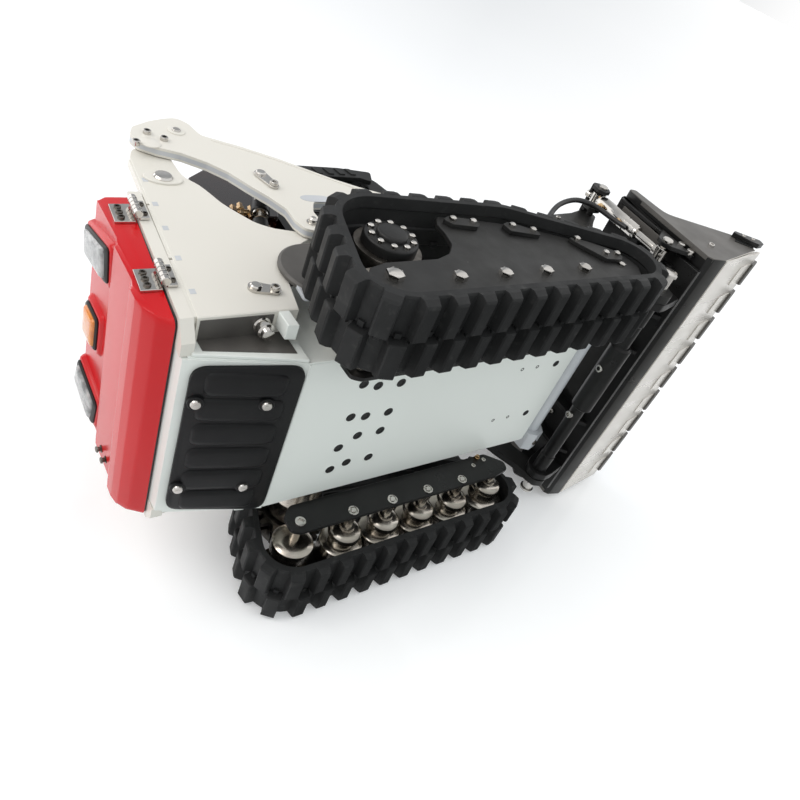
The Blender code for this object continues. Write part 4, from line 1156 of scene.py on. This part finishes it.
def arms():
    """The lift arms: two ivory plates on a grey middle layer that is painted shade of the channel between
    them, and the black foot at the front.
    """
    for side, word in SIDES:
        kit = Kit()
        edge = rounded(ARM, 3.0, 2)
        kit.plate(edge, side * 41.35, side * 42.3)
        kit.plate(edge, side * 43.6, side * ARM_FACE)
        kit.make(f"arm_plates_{word}", "ivory", "lift_arms", (f"lift_arm_{word}",), bevel=0.18)
        # The grey middle layer between the ivory plates: painted shade of the channel between them.
        channel_shade = Kit()
        channel_shade.plate(edge, side * 42.2, side * 43.7)
        channel_shade.make(f"arm_channel_painted_shade_{word}", "grey", "lift_arms")
        # The long raised lip that follows the arm's upper edge.
        lip = Kit()
        line = [(114.6, 127.4), (104.4, 121.9), (93.0, 114.4), (76.6, 101.6), (68.2, 96.2), (51.4, 87.4),
                (33.6, 81.4), (16.0, 78.2), (0.0, 78.1)]
        lip.pipe(spline([(side * ARM_FACE, y, z) for y, z in line], 3), 0.32, 8)
        lip.make(f"arm_lip_{word}", "ivory", "lift_arms")
        pins = Kit()
        for dy, dz in ((5.0, -1.0), (-1.0, 6.4), (-5.4, 2.4)):
            at = (side * ARM_FACE, PIVOT[0] + dy, PIVOT[1] + dz)
            pins.bolt(at, (side, 0, 0), 1.35, 1.3)
        pins.turned((side * ARM_FACE, 125.3, 132.6), (side, 0, 0),
                    [(-0.4, 1.6), (0.6, 1.6), (0.9, 1.2), (0.9, TIP)], 28)
        profile = [(-0.4, 2.0), (0.3, 2.0), (0.35, 1.5), (1.5, 1.35), (2.0, 0.8), (2.1, TIP)]
        pins.turned((side * ARM_FACE, 100.7, 75.5), (side, 0, 0), profile, 28)
        for y, z in ((58.0, 85.4), (30.0, 77.4), (2.0, 70.6), (-4.4, 70.6)):
            pins.bolt((side * ARM_FACE, y, z), (side, 0, 0), 1.1, 0.8)
        pins.make(f"arm_pins_{word}", "chrome", "lift_arms", angle=30)
        keeper = Kit()
        pin_keeper(keeper, side * 44.75, side, (106.1, 104.5), (104.5, 97.4), 2.3, 0.8)
        keeper.make(f"arm_keeper_{word}", "chrome", "lift_arms", bevel=0.15)
        ring = Kit()
        ring.turned((side * 44.6, *PIVOT), (side, 0, 0), [(0.0, 3.4), (0.3, 3.4), (0.4, 3.2), (0.4, TIP)],
                    40)
        ring.turned((side * 44.6, 125.3, 132.6), (side, 0, 0),
                    [(0.0, 3.0), (0.4, 3.0), (0.5, 2.8), (0.5, TIP)], 32)
        ring.make(f"arm_pivot_disc_{word}", "ivory", "lift_arms")
        slot = Kit()
        oval = []
        for k in range(28):
            turn = math.tau * k / 28
            oval.append((91.6 + 4.4 * math.cos(turn) + (1.6 if math.cos(turn) > 0 else -1.6),
                         90.2 + 2.1 * math.sin(turn) + 0.25 * math.cos(turn)))
        slot.plate(oval, side * 44.6, side * 44.78)
        slot.make(f"arm_slot_{word}", "grey", "lift_arms")
        tips = Kit()
        tips.bolt((side * 45.55, 106.1, 104.5), (side, 0, 0), 1.5, 0.7)
        tips.bolt((side * 45.55, 104.7, 98.3), (side, 0, 0), 0.9, 0.7)
        tips.make(f"arm_keeper_screws_{word}", "chrome", "lift_arms")
        foot = Kit()
        edge = rounded(FOOT, 2.0, 2)
        foot.plate(edge, side * 50.1, side * FOOT_FACE)
        foot.turned((side * 45.0, -0.4, 64.0), (side, 0, 0), [(0.0, 2.2), (5.2, 2.2)], 32)
        # The clevis that carries the tilt cylinder's upper pin.
        ear = [(-27.4, 66.4), (-25.6, 63.8), (-22.4, 63.8), (-20.6, 66.0), (-21.0, 69.6), (-23.6, 71.2),
               (-26.6, 70.2)]
        foot.plate(rounded(ear, 1.2, 3), side * 55.6, side * 57.2)
        foot.plate(rounded(ear, 1.2, 3), side * 63.8, side * 65.2)
        foot.turned((side * 53.2, *TILT_PIN), (side, 0, 0), [(0.0, 1.5), (12.6, 1.5)], 20)
        outline = [(-26.9, 69.4), (-26.0, 70.9), (-23.4, 71.6), (-21.4, 70.6), (-21.6, 69.6),
                   (-24.0, 70.5)]
        foot.plate(outline, side * 53.0, side * 65.2)
        foot.make(f"arm_foot_plates_{word}", "plate", "lift_arms", (f"arm_foot_{word}",), bevel=0.18)
        screws = Kit()
        for y, z in ((-2.0, 64.0), (5.0, 62.0), (-9.0, 56.0), (-5.8, 40.8)):
            screws.bolt((side * FOOT_FACE, y, z), (side, 0, 0), 1.0, 0.8)
        profile = [(-0.4, 2.4), (6.2, 2.4), (6.3, 3.1), (7.3, 3.1), (7.7, 2.6), (7.75, TIP)]
        screws.turned((side * FOOT_FACE, *BUCKET_PIN), (side, 0, 0), profile, 32)
        profile = [(-0.4, 2.0), (0.7, 2.0), (1.0, 1.6), (1.0, TIP)]
        screws.turned((side * 65.2, *TILT_PIN), (side, 0, 0), profile, 28)
        screws.turned((side * 60.5, -22.6, 70.4), (0, 0.2, 1),
                      [(-0.6, 1.5), (1.2, 1.5), (1.5, 1.1), (1.5, TIP)], 24)
        screws.make(f"arm_foot_pins_{word}", "chrome", "lift_arms")


def tube_between(kit, a, b, profile, segments=28):
    """Turns a profile about the line from a to b; heights are measured from a."""
    axis = Vector(b) - Vector(a)
    kit.turned(a, axis, profile, segments)


def cylinders():
    """The lift and tilt cylinders: an open tube, a rod with its eye, a gland and ports."""
    sets = (("lift", (130.5, 47.0), (105.5, 101.0), 34.9, 48.0, 2.9, 1.5, 12.0),
            ("tilt", (-24.0, 67.0), (-22.0, 29.0), 60.5, 24.0, 2.9, 1.5, 7.0))
    for kind, base, end, x, barrel, r, pin, inner in sets:
        long = math.hypot(end[0] - base[0], end[1] - base[1])
        for side, word in SIDES:
            a = (side * x, *base)
            b = (side * x, *end)
            tube = Kit()
            # A tube with an open mouth, so the rod slides without touching it.
            profile = [(inner - 3.0, TIP), (inner - 3.0, pin + 0.35), (barrel, pin + 0.35),
                       (barrel, r - 0.35), (barrel - 0.3, r - 0.05), (barrel - 5.0, r - 0.05),
                       (barrel - 5.2, r - 0.3), (barrel - 5.6, r - 0.3), (barrel - 5.8, r), (4.2, r),
                       (3.4, r * 0.9), (2.0, r * 0.85), (-2.6, r * 0.85), (-2.6, TIP)]
            tube_between(tube, a, b, profile)
            profile = [(0.0, r - 0.3), (0.3, r), (2 * r - 0.7, r), (2 * r - 0.4, r - 0.3)]
            tube.turned((a[0] - side * (r - 0.2), *base), (side, 0, 0), profile, 28)
            tube.make(f"{kind}_barrel_tube_{word}", "black" if kind == "lift" else "chrome",
                      f"{kind}_barrel_{word}", (f"{kind}_barrel_{word}",), angle=32)
            trim = Kit()
            profile = [(barrel - 0.1, pin + 0.4), (barrel - 0.1, r - 0.4), (barrel + 0.9, r - 0.5),
                       (barrel + 0.9, pin + 0.4)]
            tube_between(trim, a, b, profile)
            trim.turned((a[0] - side * (r + 0.1), *base), (side, 0, 0), [(0.0, 1.4), (2 * r + 0.2, 1.4)],
                        20)
            trim.make(f"{kind}_gland_{word}", "brass" if kind == "lift" else "chrome",
                      f"{kind}_barrel_{word}")
            rod = Kit()
            profile = [(inner, TIP), (inner, pin - 0.2), (inner + 0.4, pin), (long - 3.4, pin),
                       (long - 2.8, 2.2), (long + 1.4, 2.4), (long + 2.2, 1.6), (long + 2.3, TIP)]
            tube_between(rod, a, b, profile)
            rod.turned((b[0] - side * 2.6, *end), (side, 0, 0),
                       [(0.0, 2.3), (0.3, 2.6), (4.9, 2.6), (5.2, 2.3)], 28)
            rod.make(f"{kind}_rod_eye_{word}", "chrome", f"{kind}_rod_{word}", (f"{kind}_rod_{word}",),
                     angle=32)
            if kind == "lift":
                sleeve = Kit()
                profile = [(long - 6.2, 1.4), (long - 6.2, 3.0), (long - 5.8, 3.3), (long + 2.6, 3.3),
                           (long + 3.0, 3.0), (long + 3.0, TIP)]
                tube_between(sleeve, a, b, profile, 36)
                sleeve.make(f"lift_sleeve_{word}", "black", f"lift_rod_{word}", angle=32)
                band = Kit()
                profile = [(long - 7.2, 1.4), (long - 7.2, 2.7), (long - 6.0, 2.9), (long - 6.0, 1.4)]
                tube_between(band, a, b, profile, 36)
                band.make(f"lift_sleeve_band_{word}", "chrome", f"lift_rod_{word}", angle=32)
            port = Kit()
            across = Vector((0.0, (end[1] - base[1]) / long, -(end[0] - base[0]) / long))
            for height in (6.0, barrel - 7.4):
                t = height / long
                at = Vector((side * x, base[0] + (end[0] - base[0]) * t, base[1] + (end[1] - base[1]) * t))
                at += across * (r - 0.4) * -1
                profile = [(0.0, 1.0), (0.8, 1.0), (0.85, 1.35), (1.9, 1.35), (2.0, 0.8), (2.7, 0.75)]
                port.turned(tuple(at), tuple(-across), profile, 6, 0.0)
            port.make(f"{kind}_ports_{word}", "brass", f"{kind}_barrel_{word}")


# ---------------------------------------------------------------- coupler and bucket

def coupler():
    """The quick coupler between the arms' feet and the bucket."""
    kit = Kit()
    kit.plate([(-28.4, 13.9), (-26.3, 13.9), (-29.3, 49.6), (-31.5, 49.8)], -62.3, 62.3)
    kit.plate([(-27.2, 23.0), (-24.6, 23.4), (-25.0, 26.4), (-27.5, 26.0)], -58.0, 58.0)
    kit.plate([(-29.0, 41.6), (-26.2, 42.0), (-26.9, 46.0), (-29.4, 45.6)], -58.0, 58.0)
    low_ear = [(-27.4, 14.4), (-18.0, 12.0), (-13.6, 11.6), (-9.4, 14.0), (-8.6, 18.0), (-10.6, 21.6),
               (-15.0, 24.0), (-28.0, 28.0)]
    top_ear = [(-27.6, 21.0), (-21.0, 25.4), (-18.8, 29.0), (-20.6, 32.4), (-29.0, 37.0)]
    for side, _ in SIDES:
        kit.plate(rounded(low_ear, [0, 2.5, 2.5, 2.5, 2.5, 2.5, 2.5, 0], 3), side * 46.4, side * 49.8)
        kit.plate(rounded(top_ear, [0, 2.0, 1.8, 2.0, 0], 3), side * 54.9, side * 57.1)
        kit.plate(rounded(top_ear, [0, 2.0, 1.8, 2.0, 0], 3), side * 63.9, side * 65.6)
        # The channel that stands up the back of the bucket, with its inner strip.
        outline = [(-28.9, 20.0), (-27.0, 20.0), (-29.0, 60.0), (-32.4, 62.0), (-33.0, 60.0),
                   (-30.4, 50.0)]
        kit.plate(outline, side * 63.6, side * 65.0)
        kit.plate([(-30.6, 40.0), (-28.6, 40.0), (-30.4, 61.4), (-33.6, 62.4)], side * 47.0, side * 65.0)
        for x in (20.0, 38.0):
            kit.plate([(-27.2, 15.0), (-21.6, 20.0), (-22.4, 40.0), (-29.0, 47.0)], side * x,
                      side * (x + 1.8))
    kit.make("coupler_frame", "black", "bucket", ("coupler",), bevel=0.25)
    bar = Kit()
    profile = [(0.0, 2.7), (0.4, 3.3), (9.6, 3.3), (10.0, 3.0), (83.8, 3.0), (84.2, 3.3), (93.4, 3.3),
               (93.8, 2.7)]
    bar.turned((-46.9, *BUCKET_PIN), (1, 0, 0), profile, 36)
    bar.turned((-26.0, BUCKET_PIN[0] - 0.6, BUCKET_PIN[1]), (1, 0, 0),
               [(0.0, 3.4), (0.8, 4.5), (33.2, 4.5), (34.0, 3.4)], 36)
    bar.make("coupler_tube", "black", "bucket", angle=32)
    pins = Kit()
    for side, _ in SIDES:
        profile = [(-8.2, 1.3), (0.2, 1.3), (0.3, 2.2), (0.9, 2.2), (1.2, 1.9), (1.2, TIP)]
        pins.turned((side * 65.4, -22.0, 29.0), (side, 0, 0), profile, 28)
        for z in (22.0, 26.6):
            profile = [(-0.2, 1.5), (1.2, 1.5), (1.6, 1.1), (1.6, TIP)]
            pins.turned((side * 64.9, -28.2 - 0.04 * (z - 22.0), z), (side, 0, 0), profile, 24)
        for x in (30.0, 57.0):
            pins.bolt((side * x, -27.4, 34.0), (0, 1, -0.07), 1.3, 1.0)
    pins.bolt((12.0, -10.7, 17.4), (0, 1, 0.1), 1.6, 1.0)
    pins.bolt((-14.0, -10.7, 17.4), (0, 1, 0.1), 1.6, 1.0)
    # The quick-coupler's lever pins on the right.
    for x, y, z in ((-52.4, -27.0, 46.2), (-45.4, -26.6, 41.0)):
        pins.turned((x, y, z), (0, 1, 0.05), [(-1.5, 1.5), (1.2, 1.5), (1.6, 1.1), (1.6, TIP)], 24)
    pins.make("coupler_pins", "chrome", "bucket", angle=30)
    lever = Kit()
    shape = [(-55.4, 36.6), (-52.0, 36.0), (-43.0, 39.4), (-41.8, 42.4), (-44.0, 45.6), (-51.4, 49.8),
             (-55.2, 48.6)]
    lever.slab([(x, -27.6 + (z - 40) * -0.06, z) for x, z in rounded(shape, 1.2, 3)], (0, 1, 0.06), 0.0,
               1.3)
    lever.make("coupler_lever", "plate", "bucket", bevel=0.2)
    strip = Kit()
    for side, _ in SIDES:
        strip.plate([(-27.2, 30.0), (-26.7, 30.0), (-28.4, 57.0), (-29.0, 57.0)], side * 58.6, side * 63.4)
    strip.make("coupler_strip", "side", "bucket", bevel=0.1)
    fittings = Kit()
    for x, y, z, tip in ((-44.0, -27.2, 42.0, (0, 1, 0.5)), (-12.4, -27.3, 42.0, (0, 1, 0.8))):
        fittings.turned((x, y - 1.6, z - 0.8), tip, [(0.0, 1.7), (1.6, 1.7)], 6, 0.0)
        fittings.turned((x, y, z), tip, [(-0.4, 1.3), (1.8, 1.3), (2.2, 1.0), (2.2, TIP)], 20)
    fittings.make("hose_fittings", "brass", "bucket")


def bucket():
    """The bucket: back, beam, floor, cheeks, side cutters, edge and teeth."""
    half = 68.0
    back = Kit()
    # The black back: a folded sheet with a rolled top flange.
    outline = [(-29.4, 15.4), (-32.2, 46.0), (-33.0, 60.2), (-34.4, 62.3), (-37.4, 61.4), (-37.4, 60.0),
               (-35.2, 60.4), (-34.2, 59.4), (-33.8, 46.0), (-31.0, 15.6)]
    back.plate(outline, -67.8, 67.8)
    back.make("bucket_back", "black", "bucket", bevel=0.25)
    beam = Kit()
    outline = [(-29.3, 15.5), (-31.2, 13.5), (-36.9, 12.1), (-38.4, 12.5), (-37.8, 15.0), (-32.4, 16.2),
               (-31.0, 18.4)]
    beam.plate(outline, -67.8, 67.8)
    beam.make("bucket_beam", "black", "bucket", bevel=0.3)
    floor = Kit()
    floor.plate([(-37.4, 12.3), (-66.2, 17.4), (-67.2, 17.8), (-66.0, 19.2), (-37.4, 15.0)], -67.9, 67.9)
    floor.plate([(-31.2, 18.0), (-37.4, 14.6), (-37.4, 15.4), (-33.0, 19.0), (-33.9, 30.0), (-33.2, 30.0)],
                -66.0, 66.0)
    floor.make("bucket_floor", "floor", "bucket", bevel=0.15)
    sides = Kit()
    cheek = [(-29.4, 15.5), (-33.2, 60.3), (-34.4, 62.3), (-37.3, 61.4), (-37.4, 44.2), (-63.9, 29.0),
             (-68.8, 21.0), (-66.0, 17.5), (-36.8, 12.3), (-31.0, 13.7)]
    for side, word in SIDES:
        sides.plate(rounded(cheek, [0.5, 1.0, 1.0, 1.0, 6.0, 2.0, 1.0, 0.5, 1.0, 0.5], 3), side * 66.1,
                    side * half)
    sides.make("bucket_cheeks", "side", "bucket", ("bucket_shell",), bevel=0.2)
    cutters = Kit()
    block = [(-62.0, 27.6), (-64.4, 28.4), (-73.6, 21.4), (-72.6, 18.6), (-68.6, 18.4), (-66.2, 20.6)]
    for side, word in SIDES:
        cutters.plate(rounded(block, 0.8, 3), side * 68.0, side * 70.0)
        cutters.plate([(-60.0, 24.0), (-64.2, 26.4), (-69.4, 20.6), (-66.4, 18.6)], side * 67.2,
                      side * 68.4)
    cutters.make("side_cutters", "black", "bucket", bevel=0.25)
    rivets = Kit()
    for side, _ in SIDES:
        for y, z in ((-65.6, 24.6), (-68.8, 22.0)):
            rivets.bolt((side * 70.0, y, z), (side, 0, 0), 0.8, 0.45)
        rivets.bolt((side * 68.0, -40.0, 22.0), (side, 0, 0), 1.2, 0.8)
    rivets.make("bucket_screws", "chrome", "bucket")
    ribs = Kit()
    for x in (-56.0, -28.0, 0.0, 28.0, 56.0):
        ribs.plate([(-30.4, 18.6), (-28.9, 18.6), (-31.2, 44.0), (-32.6, 44.0)], x - 1.0, x + 1.0)
    ribs.make("bucket_back_ribs", "black", "bucket", bevel=0.2)
    edge = Kit()
    edge.plate([(-38.6, 12.28), (-38.6, 12.6), (-48.0, 13.9), (-67.4, 17.35), (-69.4, 16.7), (-68.0, 15.9)],
               -67.6, 67.6)
    edge.make("edge_strip", "floor", "bucket", ("cutting_edge",), bevel=0.15)
    # The shanks take the bare steel look and the points the dark grey one: the dark points are painted
    # shade on the teeth's bevelled ends.
    teeth = Kit()
    tips = Kit()
    shank = ((-58.0, 14.4, 15.6, 4.2), (-62.0, 14.9, 16.2, 4.85), (-67.0, 15.5, 17.0, 4.85))
    point = ((-66.4, 14.6, 17.1, 4.9), (-68.0, 14.5, 17.3, 4.9), (-72.9, 16.5, 17.7, 4.9))
    for x in [-58.0 + 14.5 * k for k in range(9)]:
        teeth.skin([upright(x, w, y, low, high) for y, low, high, w in shank])
        tips.skin([upright(x, w, y, low, high) for y, low, high, w in point])
    teeth.make("bucket_teeth", "floor", "bucket", bevel=0.2)
    tips.make("tooth_points_painted_shade", "side", "bucket", bevel=0.12)


def hose():
    """The tilt hoses on the arms and the hose over the coupler."""
    for side, word in SIDES:
        line = Kit()
        route = [(side * 58.0, 22.0, 49.0), (side * 59.0, 15.0, 55.5), (side * 60.5, 4.0, 62.0),
                 (side * 61.5, -7.0, 64.0),
                 (side * 61.5, -14.0, 60.0), (side * 60.6, -18.0, 52.0), (side * 60.5, -19.8, 46.0)]
        line.pipe(spline(route, 8), 1.0, 14)
        line.make(f"tilt_hose_{word}", "hose", "lift_arms")
    kit = Kit()
    route = [(-44.0, -26.6, 42.6), (-44.0, -24.0, 44.8), (-41.0, -20.5, 51.0), (-34.0, -18.5, 56.0),
             (-25.0, -19.0, 57.5), (-17.0, -22.0, 54.0), (-13.0, -25.0, 47.5), (-12.4, -26.8, 42.6)]
    kit.pipe(spline(route, 8), 1.1, 14)
    kit.make("coupler_hose_line", "hose", "bucket", ("coupler_hose",))


# ---------------------------------------------------------------- cab and bay

def cab():
    """The cab's glass, guards, door, roof and controls."""
    dress("cab_shell", "plastic", bevel=0.6, steps=3)
    dress("cab_seat", "seat", bevel=1.6, steps=4)
    glass = Kit()
    for side, _ in SIDES:
        outline = [(side * 26.1, 41.0, 89.0), (side * 26.1, 83.0, 89.0), (side * 26.1, 83.0, 129.0),
                   (side * 26.1, 41.0, 129.0)]
        glass.slab(outline, (1, 0, 0), -0.4, 0.4)
    glass.make("side_glass", "glass", "chassis", bevel=0.1)
    guard = Kit()
    for side, _ in SIDES:
        for k in range(9):
            y = 42.5 + 5.0 * k
            outline = [(side * 26.9, y, 87.0), (side * 26.9, y + 1.1, 87.0),
                       (side * 26.9, y + 1.1, 131.0), (side * 26.9, y, 131.0)]
            guard.slab(outline, (side, 0, 0), 0.0, 0.8)
        for z in (98.0, 109.0, 120.0):
            outline = [(side * 27.0, 38.0, z), (side * 27.0, 86.0, z), (side * 27.0, 86.0, z + 1.1),
                       (side * 27.0, 38.0, z + 1.1)]
            guard.slab(outline, (side, 0, 0), 0.0, 0.7)
    guard.make("cab_guards", "black", "chassis", bevel=0.15)
    # Door frame bars across the cab's mouth.
    door = Kit()

    def front(z, out):
        """The y of the cab's two-part front face at a height, moved forward by out."""
        if z < 96.0:
            return 18.0 + 6.0 / 32.0 * (z - 64.0) - out
        return 24.0 + 9.0 / 38.0 * (z - 96.0) - out

    for x0, x1 in ((-21.4, -19.6), (19.6, 21.4), (-1.0, 1.0)):
        for low, high in ((66.5, 96.0), (96.0, 131.5)):
            door.skin([[W(x0, front(z, 0.9), z), W(x1, front(z, 0.9), z), W(x1, front(z, -0.6), z),
                                  W(x0, front(z, -0.6), z)] for z in (low, high)])
    for z in (67.4, 98.0, 130.2):
        door.skin([[W(x, front(z - 0.9, 1.0), z - 0.9), W(x, front(z + 0.9, 1.0), z + 0.9),
                              W(x, front(z + 0.9, -0.6), z + 0.9), W(x, front(z - 0.9, -0.6), z - 0.9)]
                             for x in (-21.4, 21.4)])
    door.make("door_frame", "black", "chassis", bevel=0.3)
    pane = Kit()
    for low, high in ((68.2, 97.2), (98.8, 129.4)):
        pane.skin([[W(x, front(low, 0.1), low), W(x, front(low, -0.5), low), W(x, front(high, -0.5), high),
                    W(x, front(high, 0.1), high)] for x in (-19.8, 19.8)])
    pane.make("door_glass", "glass", "chassis")
    roof = Kit()
    roof.skin([level(0.0, 24.6, 37.5, 87.0, 139.4), level(0.0, 24.6, 38.6, 86.0, 140.8)])
    for k in range(6):
        x = -20.0 + 8.0 * k
        roof.skin([level(x, 1.4, 41.0, 84.0, 140.6), level(x, 1.4, 42.0, 83.0, 141.6)])
    roof.make("roof_panel", "plastic", "chassis", bevel=0.5)
    vent = Kit()
    for side, _ in SIDES:
        outline = [(71.9, 140.0), (50.9, 139.4), (35.7, 136.6), (39.4, 128.6), (44.0, 131.6), (72.0, 132.4)]
        vent.plate(rounded(outline, 1.4, 3), side * 28.2, side * 30.2)
        for k in range(5):
            y = 45.0 + 5.4 * k
            vent.plate([(y, 133.4), (y + 2.4, 133.6), (y + 3.4, 138.2), (y + 1.0, 138.0)], side * 30.0,
                       side * 30.7)
        for y in (46.0, 66.0):
            vent.turned((side * 26.6, y, 135.4), (side, 0, 0), [(0.0, 1.4), (1.8, 1.4)], 16)
    vent.make("roof_vents", "plastic", "chassis", bevel=0.2)
    dash = Kit()
    for x in (-17.0, 11.0):
        dash.plate([(26.0, 63.0), (34.0, 63.0), (33.0, 84.0), (29.5, 86.0)], x, x + 6.0)
    for x in (-15.5, 15.5):
        profile = [(0.0, 0.8), (9.0, 0.7), (9.4, 1.6), (13.0, 1.7), (13.8, 1.1)]
        dash.turned((x, 60.0, 80.0), (0, -0.15, 1), profile, 16)
        dash.skin([upright(x, 1.8, y, 78.6, 80.6) for y in (56.0, 74.0)])
    dash.make("cab_controls", "seat", "chassis", bevel=0.5)


def bay():
    """What lies in the tub and the engine bay."""
    case = Kit()
    shape = [(-21.0, 6.4), (21.0, 6.4), (21.0, 59.6), (-21.0, 59.6)]
    edge = rounded(shape, 3.5, 5)
    rings = []
    for inset, z in ((0.8, 26.6), (0.0, 27.6), (0.0, 46.9), (0.9, 47.8)):
        rings.append([W(x * (1 - inset / 21.0), 33.0 + (y - 33.0) * (1 - inset / 26.5), z) for x,
                      y in edge])
    case.skin(rings)
    case.make("battery_pack", "wrap", "chassis", ("battery",), angle=40)
    leads = Kit()
    for x in (-6.0, 6.0):
        leads.pipe(spline([(x, 58.0, 44.0), (x, 64.0, 46.0), (x * 1.4, 66.0, 52.0), (x * 1.2, 72.0, 47.0)],
                          5), 0.9, 10)
    leads.make("battery_leads", "hose", "chassis")
    pump = Kit()
    profile = [(-20.0, 6.0), (-19.4, 6.8), (-6.0, 6.8), (-5.8, 7.0), (-4.2, 7.0), (-4.0, 6.6), (3.6, 6.6),
               (4.0, 5.2), (10.0, 5.0), (10.2, 4.2), (15.6, 4.2), (16.0, 3.6)]
    pump.turned((0.0, 76.0, 36.0), (1, 0, 0), profile, 40)
    pump.make("pump_motor", "steel", "chassis", ("hydraulic_pump",), angle=32)
    block = Kit()
    block.skin([level(0.0, 19.8, 104.3, 121.8, z) for z in (61.2, 73.8)])
    for k in range(4):
        block.skin([level(-14.2 + 9.6 * k, 2.3, 107, 119, z) for z in (73.6, 77.4)])
    block.make("valve_body", "floor", "chassis", ("valve_block",), bevel=0.6, steps=3)
    ports = Kit()
    for k in range(4):
        x = -14.2 + 9.6 * k
        ports.hex((x, 122.0, 67.6), (0, 1, 0), 1.7, 2.2)
        ports.turned((x, 124.0, 67.6), (0, 1, 0), [(0.0, 1.1), (1.6, 1.1)], 14)
        ports.hex((x, 104.4, 67.6), (0, -1, 0), 1.7, 2.2)
    ports.make("valve_ports", "brass", "chassis")
    tank = Kit()
    shape = rounded([(-23.8, 126.2), (23.8, 126.2), (23.8, 143.8), (-23.8, 143.8)], 3.0, 4)
    rings = []
    for inset, z in ((1.0, 61.2), (0.0, 62.4), (0.0, 86.4), (1.2, 87.8)):
        rings.append([W(x * (1 - inset / 23.8), 135.0 + (y - 135.0) * (1 - inset / 8.9), z) for x,
                      y in shape])
    tank.skin(rings)
    tank.make("oil_reservoir", "black", "chassis", ("oil_tank",), angle=40)
    cap = Kit()
    cap.hex((12.0, 135.0, 87.6), (0, 0, 1), 3.2, 2.2)
    cap.turned((12.0, 135.0, 89.6), (0, 0, 1), [(0.0, 2.0), (1.0, 2.0), (1.2, 1.4)], 24)
    cap.turned((-12.0, 135.0, 87.6), (0, 0, 1), [(0.0, 1.4), (3.4, 1.4), (3.6, 0.9)], 16)
    cap.make("reservoir_cap", "brass", "chassis")
    lines = Kit()
    for k, (x, end) in enumerate(((-14.2, (-30.5, 112.0, 92.0)), (-4.6, (-29.0, 104.0, 97.0)),
                                  (5.0, (29.0, 104.0, 97.0)), (14.6, (30.5, 112.0, 92.0)))):
        away = 1 if end[0] > 0 else -1
        route = [(x, 102.0, 67.6), (x * 1.1 + away * 2, 98.6, 70.0), (away * 24.0, 99.0, 78.0 + k),
                 (away * 29.0, 101.5, 88.0), end]
        lines.pipe(spline(route, 7), 1.15, 12)
    route = [(-12.0, 135.0, 90.4), (-12.0, 133.0, 94.0), (-14.0, 122.0, 92.0), (-14.2, 112.0, 80.0),
             (-10.0, 104.0, 66.0), (-6.0, 90.0, 50.0), (-4.0, 80.0, 43.4)]
    lines.pipe(spline(route, 7), 1.3, 12)
    lines.make("bay_hoses", "hose", "chassis")
    tips = Kit()
    for side, _ in SIDES:
        for y, z in ((112.6, 101.0), (109.4, 99.0), (115.8, 99.6)):
            profile = [(-3.0, 1.2), (0.0, 1.2), (0.1, 1.6), (1.8, 1.6), (1.9, 1.1), (4.4, 1.1),
                       (4.6, 0.6)]
            tips.turned((side * 33.0, y, z), (0, -0.35, 1), profile, 6, 0.0)
        tips.turned((side * 33.0, 108.0, 99.4), (0, 1, 0.2), [(0.0, 1.2), (8.6, 1.2)], 14)
    for x, y, z in ((-30.5, 112.0, 92.0), (-29.0, 104.0, 97.0), (29.0, 104.0, 97.0), (30.5, 112.0, 92.0)):
        tips.turned((x, y, z), (0, 0.3, 1), [(-1.4, 1.5), (1.2, 1.5), (1.4, 1.1), (3.4, 1.1), (3.6, 0.6)],
                    6, 0.0)
    tips.make("bay_fittings", "brass", "chassis")
    for side, word in SIDES:
        motor = Kit()
        y, z = DRIVE[:2]
        profile = [(4.0, 6.8), (4.6, 7.6), (20.0, 7.6), (20.3, 8.0), (22.4, 8.0), (22.6, 7.6),
                   (28.4, 7.6)]
        motor.turned((0.0, y, z), (side, 0, 0), profile, 40)
        motor.make(f"track_motor_{word}", "steel", "chassis", (f"drive_motor_{word}",), angle=32)


def engine_cover():
    """The smoked cover behind the cab, over the engine bay."""
    kit = Kit()
    profile = [(92.5, 139.0), (108.0, 137.0), (121.0, 127.0), (126.0, 112.0), (124.0, 104.0), (97.0, 101.0),
               (93.8, 110.0)]
    kit.plate(rounded(profile, 2.0, 3), -30.5, 30.5)
    kit.make("engine_cover", "smoked", "chassis", bevel=0.6, steps=3)


def small_parts():
    """What shows between the tower and the track on each side."""
    for side, word in SIDES:
        disc = Kit()
        profile = [(0.0, 13.4), (0.5, 14.0), (1.4, 14.0), (2.0, 13.2), (2.1, TIP)]
        disc.turned((side * 41.2, 108.0, 53.0), (side, 0, 0), profile, 48)
        disc.make(f"motor_guard_{word}", "side", "chassis")
        bracket = Kit()
        bracket.plate(rounded([(112.0, 52.0), (120.0, 50.4), (121.0, 40.0), (113.4, 41.2)], 1.5, 3),
                      side * 41.3, side * 42.6)
        bracket.make(f"guard_bracket_{word}", "grey", "chassis", bevel=0.2)


for step in (belly, cover, bumper_tube, towers, hood, lamps, hinges, track_frames, wheels, drives, arms,
             cylinders, coupler, bucket, hose, cab, bay, engine_cover, small_parts):
    step()
for side_sign, side_name in SIDES:
    track(side_sign, side_name)
